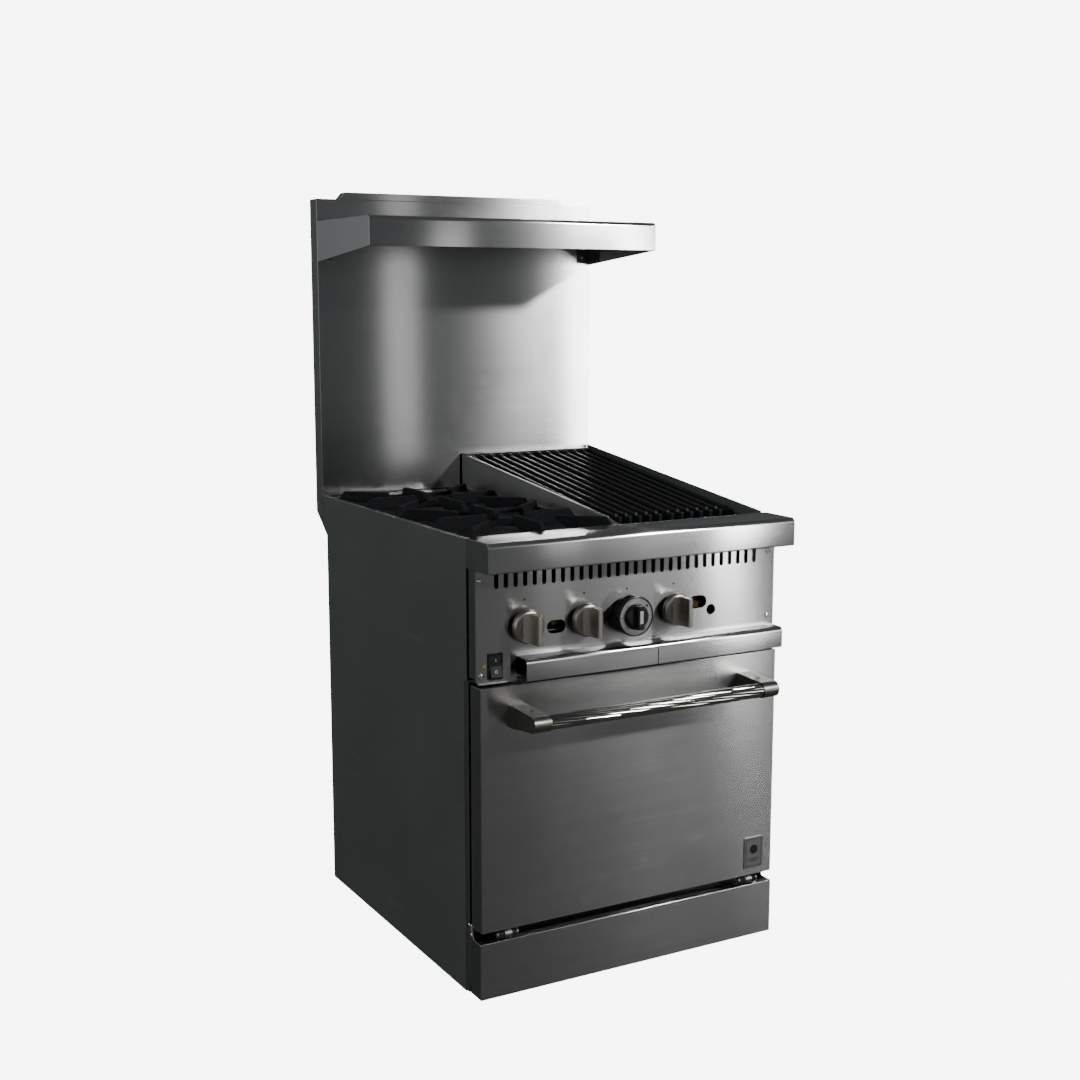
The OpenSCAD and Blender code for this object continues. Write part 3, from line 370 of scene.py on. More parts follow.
def braid(name, colour):
    """Woven gasket cord."""
    s = Shade(name)
    weave = ((s.x + s.z) * 1500.0).sine() * ((s.x - s.z) * 1500.0).sine()
    return s.finish(
        Base_Color=s.mix(weave * 0.5 + 0.5, rgba(colour, 0.6), rgba(colour, 1.5)), Roughness=weave * 0.05 + 0.82,
        Normal=s.height(weave, 0.0006, 0.6),
    )


def brass(name, colour):
    """Turned brass, tarnished by heat."""
    s = Shade(name)
    turned = s.noise(1.0, 2.0, 0.5, s.stretched(60.0, 900.0, 60.0))
    tarnish = s.noise(50.0, 4.0, 0.65).within(0.4, 0.75)
    return s.finish(
        Base_Color=s.mix(tarnish * 0.7, rgba(colour), rgba(colour, 0.45)), Metallic=1.0,
        Roughness=turned * 0.1 + tarnish * 0.2 + 0.2, Normal=s.height(turned, 0.00005, 0.3),
    )


def wire(name, colour):
    """Bright wire, straw-coloured where it has been hot."""
    s = Shade(name)
    heat = s.noise(18.0, 3.0, 0.6).within(0.4, 0.75)
    skin = s.noise(300.0, 3.0)
    return s.finish(
        Base_Color=s.mix(heat * 0.5, rgba(colour), (0.42, 0.34, 0.24, 1)), Metallic=1.0,
        Roughness=heat * 0.12 + skin * 0.05 + 0.14, Normal=s.height(skin, 0.00004, 0.3),
    )


# ---- settings ----


def colour_setting(name, description, default):
    return FloatVectorProperty(
        name=name, description=description, default=default, subtype="COLOR", size=3, min=0.0, max=1.0
    )


def power_setting(name, description, default):
    return FloatProperty(name=name, description=description, default=default, min=0.0, unit="POWER")


class RangeFinish(PropertyGroup):
    """Colours and roughness of the range's finishes."""

    steel: colour_setting("Steel", "Colour of the brushed sheet steel", (0.50, 0.50, 0.495))
    steel_rough: FloatProperty(
        name="Steel roughness", description="Roughness of the brushed sheet", default=0.165, min=0.05, max=0.9,
        subtype="FACTOR",
    )
    grain_stretch: FloatProperty(
        name="Grain stretch", description="How far the grain pulls highlights across itself", default=1.0, min=0.0,
        max=1.0, subtype="FACTOR",
    )
    paint: colour_setting("Side paint", "Colour of the painted sides", (0.100, 0.114, 0.108))
    iron: colour_setting("Iron", "Colour of the coated castings", (0.014, 0.015, 0.017))
    knob: colour_setting("Knobs", "Colour of the burner knobs", (0.46, 0.43, 0.38))
    bright: colour_setting("Handle", "Colour of the polished handle", (0.30, 0.288, 0.262))
    bracket: colour_setting("Brackets", "Colour of the handle brackets", (0.235, 0.225, 0.20))
    lamp: colour_setting("Lamp", "Colour of the power lamp's lens", (0.55, 0.33, 0.05))


class RangeDetail(PropertyGroup):
    """Sizes of the details that are finished here."""

    fold_radius: FloatProperty(
        name="Fold radius", description="Outer radius of a sheet fold", default=0.0009, min=0.0002, max=0.003,
        unit="LENGTH",
    )
    cast_radius: FloatProperty(
        name="Casting edge", description="Edge radius of the cast grates", default=0.0014, min=0.0003, max=0.004,
        unit="LENGTH",
    )
    flutes: IntProperty(name="Flutes", description="Spiral flutes round the handle", default=14, min=6, max=24)
    flute_depth: FloatProperty(
        name="Flute depth", description="Depth of a flute on the handle", default=0.0010, min=0.0, max=0.002,
        unit="LENGTH",
    )
    flute_turns: FloatProperty(
        name="Flute turns", description="Turns that a flute makes along the handle", default=0.3, min=0.1, max=12.0
    )
    dial_marks: IntProperty(name="Dial marks", description="Strokes round the oven dial", default=40, min=8, max=72)
    coil_turns: IntProperty(name="Spring turns", description="Turns of a door spring", default=6, min=3, max=12)


class RangeStudio(PropertyGroup):
    """The floor and the lights."""

    floor: colour_setting("Floor", "Colour of the studio floor", (0.86, 0.86, 0.86))
    key: power_setting("Key light", "Power of the far light at the right", 165.0)
    strip: power_setting("Strip light", "Power of the upright softbox", 0.7)
    tall: power_setting("Tall light", "Power of the tall softbox under the key", 19.0)
    fill: power_setting("Fill light", "Power of the broad overhead light", 0.4)
    ambient: FloatProperty(
        name="Ambient", description="Brightness of the room seen by the range", default=0.5, min=0.0
    )


def settings():
    """The finishes, the details and the studio, as set in the scene."""
    scene = bpy.context.scene
    return scene.range_finish, scene.range_detail, scene.range_studio


# ---- shapes ----


FINISHES = {}


def finish_for(slot):
    """The material of a record slot, or of a finish that only this file has, made on first use."""
    f = settings()[0]
    makers = {
        "stainless": lambda: brushed("sheet_steel", f.steel, f.steel_rough, "x", 1.0, f.grain_stretch),
        "handle_steel": lambda: cast_bracket("bracket_metal", f.bracket),
        "badge": lambda: brushed("badge_metal", (0.40, 0.40, 0.40), 0.42, "x", 0.6, 0.2),
        "dark_paint": lambda: painted("side_paint", f.paint),
        "galvanised": lambda: galvanised("zinc_sheet", (0.36, 0.37, 0.38)),
        "enamel": lambda: enamel("oven_enamel", (0.016, 0.018, 0.021)),
        "grate_iron": lambda: cast_iron("grate_iron", f.iron),
        "burner_iron": lambda: cast_iron("burner_iron", f.iron, 0.75, 0.35, 0.15),
        "black_pipe": lambda: cast_iron("black_pipe", (0.02, 0.02, 0.021), 0.5, 0.25),
        "brass": lambda: brass("valve_brass", (0.11, 0.078, 0.038)),
        "steel": lambda: brushed("pressed_steel", (0.17, 0.16, 0.15), 0.4, "z", 0.5, 0.2),
        "wire_chrome": lambda: wire("rack_wire", (0.60, 0.60, 0.61)),
        "mineral_wool": lambda: wool("mineral_wool", (0.55, 0.47, 0.26)),
        "gasket_braid": lambda: braid("gasket_braid", (0.05, 0.05, 0.05)),
        "knob_metal": lambda: satin_knob("knob_metal", f.knob),
        "dial_black": lambda: plastic("dial_black", (0.011, 0.012, 0.015), 0.26),
        "switch_black": lambda: plastic("switch_black", (0.006, 0.006, 0.007), 0.42),
        "amber": lambda: lamp_lens("amber_lens", f.lamp),
        "gland_black": lambda: plastic("gland_rubber", (0.02, 0.02, 0.02), 0.55),
        "handle_bar": lambda: polished("handle_bar", f.bright, 0.02),
        "left_side": lambda: painted("left_side_paint", f.paint, BARE_EDGE_Z),
        "dial_ring": lambda: dial_face("dial_ring", (0.50, 0.50, 0.50)),
        "ink_black": lambda: ink_and_painted_shade("ink_black", (0.01, 0.01, 0.01)),
        "ink_red": lambda: ink_and_painted_shade("ink_red", (0.38, 0.05, 0.03)),
        "ink_white": lambda: ink_and_painted_shade("ink_white", (0.78, 0.78, 0.78), 0.35),
        # painted shade: near-black ink for the inside of the small holes above the controls
        "painted_hole_shade": lambda: ink_and_painted_shade("painted_hole_shade", (0.004, 0.004, 0.004), 0.9),
        "spring_steel": lambda: wire("spring_steel", (0.16, 0.16, 0.17)),
        "deck_steel": lambda: brushed("deck_steel", f.steel, f.steel_rough, "y", 1.0, 0.3),
        "divider_steel": lambda: brushed("divider_steel", f.steel, 0.42, "y", 0.6, 0.0),
        "screw_head": lambda: polished("screw_head", (0.72, 0.72, 0.72), 0.14),
    }
    if slot not in FINISHES:
        FINISHES[slot] = makers[slot]()
    return FINISHES[slot]


def placed(bm, name, body, slot, stands_for=(), smooth=True):
    """Makes an object of a bmesh, gives it its finish and lets it ride on a body."""
    mesh = bpy.data.meshes.new(name)
    bm.to_mesh(mesh)
    bm.free()
    mesh.materials.append(finish_for(slot))
    for face in mesh.polygons:
        face.use_smooth = smooth
    if smooth:
        mesh.set_sharp_from_angle(angle=SHARP_CORNER)
    obj = bpy.data.objects.new(name, mesh)
    bpy.context.scene.collection.objects.link(obj)
    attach(obj, body)
    if stands_for:
        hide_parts(*stands_for)
    return obj


def eased(obj, radius, segments=2, angle=28.0):
    """Rounds the hard edges of an object."""
    bevel = obj.modifiers.new("eased_edges", "BEVEL")
    bevel.width, bevel.segments = radius, segments
    bevel.limit_method, bevel.angle_limit = "ANGLE", math.radians(angle)
    bevel.harden_normals = True
    bevel.use_clamp_overlap = True
    return obj


def joined(node):
    """A bmesh copy of a CAD node, with its triangles joined into faces."""
    bm = bmesh.new()
    bm.from_mesh(NODES[node].data)
    bmesh.ops.remove_doubles(bm, verts=bm.verts, dist=2e-6)
    bmesh.ops.dissolve_limit(bm, angle_limit=math.radians(0.5), verts=bm.verts, edges=bm.edges)
    return bm


def refined(node, radius, slot=None, segments=2, angle=28.0):
    """The CAD node's shape with rounded edges, in the CAD node's place."""
    name = node + "_finished"
    obj = placed(joined(node), name, BODY_OF[node], slot or SLOT_OF[node], (node,))
    return eased(obj, radius, segments, angle) if radius else obj


def plain(node, slot=None):
    """Keeps the CAD node and gives it its finish."""
    mesh = NODES[node].data
    mesh.materials.clear()
    mesh.materials.append(finish_for(slot or SLOT_OF[node]))


def lathe(profile, steps=72):
    """Turns an outline of (radius, height) points about Z into a closed solid."""
    bm = bmesh.new()
    verts = [bm.verts.new((r, 0.0, h)) for r, h in profile]
    edges = [bm.edges.new(pair) for pair in zip(verts, verts[1:])]
    bmesh.ops.spin(
        bm, geom=verts + edges, cent=(0, 0, 0), axis=(0, 0, 1), dvec=(0, 0, 0), angle=math.tau, steps=steps,
        use_merge=True, use_duplicate=False,
    )
    bmesh.ops.remove_doubles(bm, verts=bm.verts, dist=1e-7)
    bmesh.ops.recalc_face_normals(bm, faces=bm.faces)
    return bm


def bar(outline, length, steps=1):
    """Extrudes a closed outline of (x, z) points along Y, centred."""
    bm = bmesh.new()
    verts = [bm.verts.new((x, -length / 2, z)) for x, z in outline]
    face = bm.faces.new(verts)
    for _ in range(steps):
        made = bmesh.ops.extrude_face_region(bm, geom=[face])["geom"]
        ends = [v for v in made if isinstance(v, bmesh.types.BMVert)]
        bmesh.ops.translate(bm, verts=ends, vec=(0, length / steps, 0))
        face = next(g for g in made if isinstance(g, bmesh.types.BMFace))
    bmesh.ops.recalc_face_normals(bm, faces=bm.faces)
    return bm


def block(low, high):
    """A box between two corners."""
    bm = bmesh.new()
    bmesh.ops.create_cube(bm, size=1.0)
    low, high = Vector(low), Vector(high)
    bmesh.ops.scale(bm, verts=bm.verts, vec=high - low)
    bmesh.ops.translate(bm, verts=bm.verts, vec=(low + high) / 2)
    return bm


def disc(radius, thick, steps=24):
    """A thin disc whose face is at height 0."""
    return lathe([(0, 0), (radius * 0.94, 0), (radius, -thick * 0.4), (radius, -thick), (0, -thick)], steps)


def moved(bm, matrix):
    """The same bmesh, put in its place."""
    bmesh.ops.transform(bm, matrix=matrix, verts=bm.verts)
    return bm


def merged(parts):
    """One bmesh of several."""
    whole = bmesh.new()
    for part in parts:
        mesh = bpy.data.meshes.new("part")
        part.to_mesh(mesh)
        part.free()
        whole.from_mesh(mesh)
        bpy.data.meshes.remove(mesh)
    return whole


def facing(centre):
    """Places a piece that rises along its own Z so that it rises out of the front, at a point."""
    return Matrix.Translation(centre) @ Matrix.Rotation(math.pi / 2, 4, "X")


def screwed(bm, pivot, end_x, turns, steps):
    """Sweeps a profile along X while it turns about the X axis through a pivot, and closes its ends."""
    bmesh.ops.spin(
        bm, geom=list(bm.verts) + list(bm.edges), cent=pivot, axis=(1, 0, 0),
        dvec=((end_x - pivot[0]) / steps, 0, 0), angle=math.tau * turns, steps=steps,
    )
    bmesh.ops.holes_fill(bm, edges=[e for e in bm.edges if e.is_boundary])
    bmesh.ops.recalc_face_normals(bm, faces=bm.faces)
    return bm


def control_axis(node):
    """The point on a control's turning axis at the foot of its knob."""
    low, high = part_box(node)
    return Vector(((low.x + high.x) / 2, low.y + CONTROL_REACH, (low.z + high.z) / 2))


# ---- operators ----


class RANGE_OT_sheet_steel(Operator):
    """Finish the folded sheet steel: door, panels, shelf, backguard, trays and kick plate"""

    bl_idname = "gas_range.sheet_steel"
    bl_label = "Sheet Steel"

    def execute(self, context):
        fold = settings()[1].fold_radius
        for node in (
            "door_skin", "kick_plate", "backguard_front", "high_shelf", "flue_cap", "landing_ledge", "crumb_tray",
            "drip_tray",
        ):
            refined(node, fold)
        refined("broiler_left_panel", fold, "divider_steel")
        for node in ("control_panel", "front_frame", "cooktop_deck"):
            refined(node, 0.0)
        refined("sheet_screws", 0.0, "screw_head")
        return {"FINISHED"}


class RANGE_OT_cabinet(Operator):
    """Finish the painted sides, the dark shells and the base"""

    bl_idname = "gas_range.cabinet"
    bl_label = "Cabinet"

    def execute(self, context):
        refined("side_panel_left", 0.0004, "left_side")
        for node in ("side_panel_right", "backguard_shell", "broiler_right_panel", "shelf_brackets"):
            refined(node, 0.0004)
        for node in (
            "back_panel", "base_frame", "tray_rails", "oven_flue", "hinge_brackets", "hinge_arms", "cord_gland",
        ):
            plain(node)
        return {"FINISHED"}


class RANGE_OT_castings(Operator):
    """Finish the cast grates, burner heads and radiants"""

    bl_idname = "gas_range.castings"
    bl_label = "Castings"

    def execute(self, context):
        edge = settings()[1].cast_radius
        for node in ("burner_grate_front", "burner_grate_rear"):
            refined(node, edge, "burner_iron", angle=32.0)
        for node in ("broiler_grate_left", "broiler_grate_right"):
            refined(node, edge * 0.8, angle=32.0)
        for node in ("burner_caps", "top_burners"):
            refined(node, 0.0006, segments=1, angle=40.0)
        for node in ("broiler_burners", "broiler_radiants", "oven_burner"):
            plain(node)
        return {"FINISHED"}


class RANGE_OT_oven(Operator):
    """Finish the oven's cavity, its rack and the door's inside"""

    bl_idname = "gas_range.oven"
    bl_label = "Oven"

    def execute(self, context):
        refined("door_liner", 0.0008)
        for node in (
            "oven_liner", "oven_floor", "broiler_firebox", "rack_guides", "oven_rack", "oven_insulation",
            "door_insulation", "door_gasket",
        ):
            plain(node)
        return {"FINISHED"}


class RANGE_OT_gas_train(Operator):
    """Finish the pipes, valves and pilot tubes"""

    bl_idname = "gas_range.gas_train"
    bl_label = "Gas Train"

    def execute(self, context):
        for node in ("gas_manifold", "gas_feed_pipe", "gas_valves", "pilot_lines", "oven_thermostat"):
            plain(node)
        behind_panel, pilot_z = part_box("control_panel")[0].y + 0.014, 0.634
        screws = []
        for x in (-0.151, 0.136):
            body = lathe([(0, 0.006), (0.0022, 0.006), (0.0028, 0.005), (0.0028, -0.006), (0, -0.006)], 6)
            slot = block((-0.0024, -0.0004, 0.0052), (0.0024, 0.0004, 0.0064))
            place = facing((x, behind_panel, pilot_z))
            screws += [moved(body, place), moved(slot, place)]
        placed(merged(screws), "pilot_adjusters", "cabinet", "brass", smooth=False)
        return {"FINISHED"}


class RANGE_OT_burner_knobs(Operator):
    """Shape the three burner knobs: a round base and a waisted grip"""

    bl_idname = "gas_range.burner_knobs"
    bl_label = "Burner Knobs"

    def execute(self, context):
        for node in ("knob_front", "knob_rear", "knob_broiler"):
            self.knob(node)
        return {"FINISHED"}

    def knob(self, node):
        low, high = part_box(node)
        radius, length = (high.x - low.x) / 2, CONTROL_REACH
        place = facing(control_axis(node))
        base = lathe([
            (0, 0), (radius - 0.0012, 0), (radius, 0.0012), (radius, 0.0080), (radius - 0.0006, 0.0096),
            (radius - 0.0022, 0.0110), (radius - 0.0044, 0.0118), (radius - 0.0062, 0.0121), (0, 0.0121),
        ], 96)
        outline = [(0.0045 + 0.0100 * (1 - i / 8) ** 2.3, 0.0112 + 0.0240 * i / 8) for i in range(9)]
        outline += [(0.0044, length - 0.0022), (0.0039, length - 0.0008), (0.0028, length)]
        outline += [(-x, z) for x, z in reversed(outline)]
        half, inset, taper = 0.028, 0.0020, 0.045
        grip = bar(outline, 2 * half, 14)
        for vert in grip.verts:
            round_end = math.sqrt(max(1e-8, (radius - inset) ** 2 - vert.co.x**2))
            vert.co.y *= (round_end - max(0.0, vert.co.z - 0.012) * taper) / half
        back = length - (high.y - low.y)
        stem = lathe([(0, back), (0.004, back), (0.004, 0.002), (0, 0.002)], 32)
        dot = moved(disc(0.0011, 0.0008, 20), Matrix.Translation((0, 0.0215, length + 0.0002)))
        ring = lathe([
            (radius - 0.0100, 0.0119), (radius - 0.0098, 0.0125), (radius - 0.0090, 0.0125),
            (radius - 0.0088, 0.0119),
        ], 96)
        body = BODY_OF[node]
        whole = moved(merged([base, grip, ring, stem]), place)
        eased(placed(whole, node + "_shaped", body, "knob_metal", stands_for=(node,)), 0.0005, 2, 50.0)
        placed(moved(dot, place), node + "_dot", body, "ink_white")


class RANGE_OT_oven_dial(Operator):
    """Shape the oven dial: black skirt, printed ring, grip and pointer"""

    bl_idname = "gas_range.oven_dial"
    bl_label = "Oven Dial"

    def execute(self, context):
        low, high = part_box("thermostat_knob")
        radius = (high.x - low.x) / 2
        length, rim, core = CONTROL_REACH, 0.029, 0.0215
        place = facing(control_axis("thermostat_knob"))
        skirt = lathe([
            (0, 0), (radius - 0.006, 0), (radius - 0.005, 0.002), (radius - 0.0012, rim - 0.008),
            (radius, rim - 0.006), (radius, rim - 0.0016), (radius - 0.0007, rim - 0.0004), (radius - 0.0018, rim),
            (radius - 0.0028, rim - 0.0003), (radius - 0.0032, rim - 0.0012), (core + 0.001, rim - 0.0014),
            (core, rim - 0.0010), (core, rim + 0.0040), (core - 0.0012, rim + 0.0064),
            (core - 0.0034, rim + 0.0080), (0, rim + 0.0086),
        ], 96)
        outline = [(0.0082, rim + 0.002), (0.0070, rim + 0.008), (0.0064, length - 0.0014), (0.0052, length)]
        outline += [(-x, z) for x, z in reversed(outline)]
        half = 0.020
        grip = bar(outline, 2 * half, 10)
        for vert in grip.verts:
            vert.co.y *= math.sqrt(max(1e-8, (core - 0.0005) ** 2 - vert.co.x**2)) / half
        stem = lathe([(0, -0.027), (0.004, -0.027), (0.004, 0.002), (0, 0.002)], 32)
        ribs, rib_count = [], 60
        for i in range(rib_count):
            rib = block((radius - 0.0030, -0.0006, 0.006), (radius - 0.0010, 0.0006, rim - 0.0075))
            ribs.append(moved(rib, Matrix.Rotation(math.tau * i / rib_count, 4, "Z")))
        whole = moved(merged([skirt, grip, stem, *ribs]), place)
        dial = placed(whole, "oven_dial_shaped", "oven_dial", "dial_black", stands_for=("thermostat_knob",))
        eased(dial, 0.0004, 2, 50.0)
        ring = lathe([
            (core + 0.0012, rim - 0.0016), (core + 0.0012, rim - 0.0009), (radius - 0.0034, rim - 0.0009),
            (radius - 0.0034, rim - 0.0016),
        ], 96)
        placed(moved(ring, place), "oven_dial_ring", "oven_dial", "dial_ring", smooth=False)
        self.marks(place, radius, rim)
        dot = disc(0.0019, 0.0005, 24)
        moved(dot, Matrix.Rotation(math.radians(38), 4, "Z") @ Matrix.Translation((0.0275, 0, rim - 0.0004)))
        placed(moved(dot, place), "oven_dial_dot", "oven_dial", "ink_black")
        pointer = block((-0.0032, -0.0095, length - 0.0006), (0.0032, 0.0125, length + 0.0001))
        placed(moved(pointer, place), "oven_dial_pointer", "oven_dial", "ink_white", smooth=False)
        return {"FINISHED"}

    def marks(self, place, radius, rim):
        """Plain strokes round the ring, with a gap at the top."""
        strokes = {"ink_black": [], "ink_red": []}
        count = settings()[1].dial_marks
        outer = radius - 0.0042
        for i in range(count):
            turn = math.tau * i / count
            if abs(turn - math.pi / 2) < 0.2:
                continue
            reach, half = (0.0062, 0.0005) if i % 5 == 0 else (0.0030, 0.0003)
            stroke = block((outer - reach, -half, rim - 0.0010), (outer, half, rim - 0.00078))
            ink = "ink_red" if i % 10 == 5 else "ink_black"
            strokes[ink].append(moved(stroke, Matrix.Rotation(turn, 4, "Z")))
        for ink, parts in strokes.items():
            placed(moved(merged(parts), place), "oven_dial_" + ink, "oven_dial", ink, smooth=False)


class RANGE_OT_switch(Operator):
    """Finish the power switch, its marks and the lamp"""

    bl_idname = "gas_range.switch"
    bl_label = "Power Switch"

    def execute(self, context):
        refined("rocker_housing", 0.0007)
        refined("rocker", 0.0008, segments=3, angle=12.0)
        plain("power_light")
        low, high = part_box("rocker")
        pivot = Vector(((low.x + high.x) / 2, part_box("control_panel")[0].y + 0.001, (low.z + high.z) / 2))
        tilt = Matrix.Translation(pivot) @ Matrix.Rotation(math.radians(-6.0), 4, "X")
        slope, out, up, ink = math.atan2(0.002, 0.0185), -0.0050, 0.0095, 0.00016
        upper = tilt @ Matrix.Translation((0, out, up)) @ Matrix.Rotation(math.pi / 2 + slope, 4, "X")
        lower = tilt @ Matrix.Translation((0, out, -up)) @ Matrix.Rotation(math.pi / 2 - slope, 4, "X")
        stroke = block((-0.0005, -0.0026, 0.0), (0.0005, 0.0026, ink))
        ring = lathe([(0.0018, 0.0), (0.0018, ink), (0.0027, ink), (0.0027, 0.0), (0.0018, 0.0)], 32)
        marks = [moved(stroke, upper), moved(ring, lower)]
        placed(merged(marks), "rocker_marks", "power_rocker", "ink_white", smooth=False)
        return {"FINISHED"}


class RANGE_OT_hole_shade(Operator):
    """Add near-black discs above the controls: painted shade standing in for the small holes there"""

    bl_idname = "gas_range.panel_marks"
    bl_label = "Hole Shade"

    def execute(self, context):
        # painted shade: proud near-black discs stand in for the dark inside of the small holes above the controls
        proud, above = 0.00015, 0.0435
        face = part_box("control_panel")[0].y - proud
        marks = []
        for node in ("knob_front", "knob_rear", "thermostat_knob", "knob_broiler"):
            point = control_axis(node)
            marks.append(moved(disc(0.0018, 0.0004), facing((point.x, face, point.z + above))))
        placed(merged(marks), "painted_hole_shade_discs", "cabinet", "painted_hole_shade")
        return {"FINISHED"}


class RANGE_OT_handle(Operator):
    """Shape the fluted door handle and its brackets"""

    bl_idname = "gas_range.handle"
    bl_label = "Door Handle"

    def execute(self, context):
        detail = settings()[1]
        low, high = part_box("door_handle")
        centre = (low + high) / 2
        radius = (high.z - low.z) / 2
        inset = 0.031  # the tube ends inside the ferrules
        self.tube(low.x + inset, high.x - inset, centre, radius, detail)
        ends = []
        for side in (-1, 1):
            edge = low.x if side < 0 else high.x
            cap = lathe([
                (0, 0), (radius + 0.0002, 0), (radius + 0.0010, 0.0006), (radius + 0.0013, 0.0016),
                (radius + 0.0013, 0.0300), (radius + 0.0008, 0.0312), (radius - 0.002, 0.0315), (0, 0.0315),
            ], 64)
            turn = Matrix.Rotation(-side * math.pi / 2, 4, "Y")
            ends.append(moved(cap, Matrix.Translation((edge + side * 0.0018, centre.y, centre.z)) @ turn))
        placed(merged(ends), "handle_ferrules", "oven_door", "handle_bar")
        refined("handle_brackets", 0.0008)
        return {"FINISHED"}

    def tube(self, start, end, centre, radius, detail):
        """A lobed ring that is screwed along the handle."""
        around, steps = detail.flutes * 8, 150
        bm = bmesh.new()
        ring = bmesh.ops.create_circle(bm, segments=around, radius=radius)["verts"]
        for i, vert in enumerate(ring):
            lobe = abs(math.sin(detail.flutes * math.pi * i / around)) ** 0.8
            vert.co = vert.co.normalized() * (radius - detail.flute_depth * (1 - lobe))
        moved(bm, Matrix.Translation((start, centre.y, centre.z)) @ Matrix.Rotation(math.pi / 2, 4, "Y"))
        screwed(bm, (start, centre.y, centre.z), end, detail.flute_turns, steps)
        placed(bm, "handle_tube", "oven_door", "handle_bar", ("door_handle",))


class RANGE_OT_badge(Operator):
    """Finish the plain name plate with its pressed border"""

    bl_idname = "gas_range.badge"
    bl_label = "Name Plate"

    def execute(self, context):
        refined("badge_plate", 0.0005)
        low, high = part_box("badge_plate")
        back, front = low.y + 0.0002, low.y - 0.00025
        inset, line = 0.0035, 0.0007
        x0, x1, z0, z1 = low.x + inset, high.x - inset, low.z + inset, high.z - inset
        border = [
            block((ax, front, az), (bx, back, bz)) for ax, az, bx, bz in (
                (x0, z0, x1, z0 + line), (x0, z1 - line, x1, z1), (x0, z0, x0 + line, z1), (x1 - line, z0, x1, z1),
            )
        ]
        placed(merged(border), "badge_border", "oven_door", "ink_black", smooth=False)
        x, z = (low.x + high.x) / 2, (low.z + high.z) / 2
        button = lathe([(0, 0.0003), (0.0078, 0.0003), (0.0088, 0.0), (0, 0.0)], 48)
        moved(button, facing((x, low.y, z + 0.006)))
        bands = [
            block((x - half, front, z + up), (x + half, back, z + up + 0.0013))
            for half, up in ((0.012, -0.0125), (0.008, -0.0165))
        ]
        placed(merged([button, *bands]), "badge_bands", "oven_door", "ink_black", smooth=False)
        return {"FINISHED"}


class RANGE_OT_door_springs(Operator):
    """Wind the two pairs of door springs round the hinge pins"""

    bl_idname = "gas_range.door_springs"
    bl_label = "Door Springs"

    def execute(self, context):
        low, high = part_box("hinge_springs")
        y, z = (low.y + high.y) / 2, (low.z + high.z) / 2
        radius, wire_r = (high.z - low.z) / 2, 0.0011
        turns = settings()[1].coil_turns
        hinge_x, inner, outer = high.x - 0.018, 0.0080, 0.0168
        coils = []
        for side in (-1, 1):
            for end in (-1, 1):
                start, stop = (side * hinge_x + end * reach for reach in (inner, outer))
                bm = bmesh.new()
                bmesh.ops.create_circle(bm, segments=8, radius=wire_r)
                top = Matrix.Translation((start, y, z + radius - wire_r))
                moved(bm, top @ Matrix.Rotation(math.pi / 2, 4, "X"))
                coils.append(screwed(bm, (start, y, z), stop, turns, turns * 20))
        placed(merged(coils), "door_spring_coils", "cabinet", "spring_steel", ("hinge_springs",))
        return {"FINISHED"}


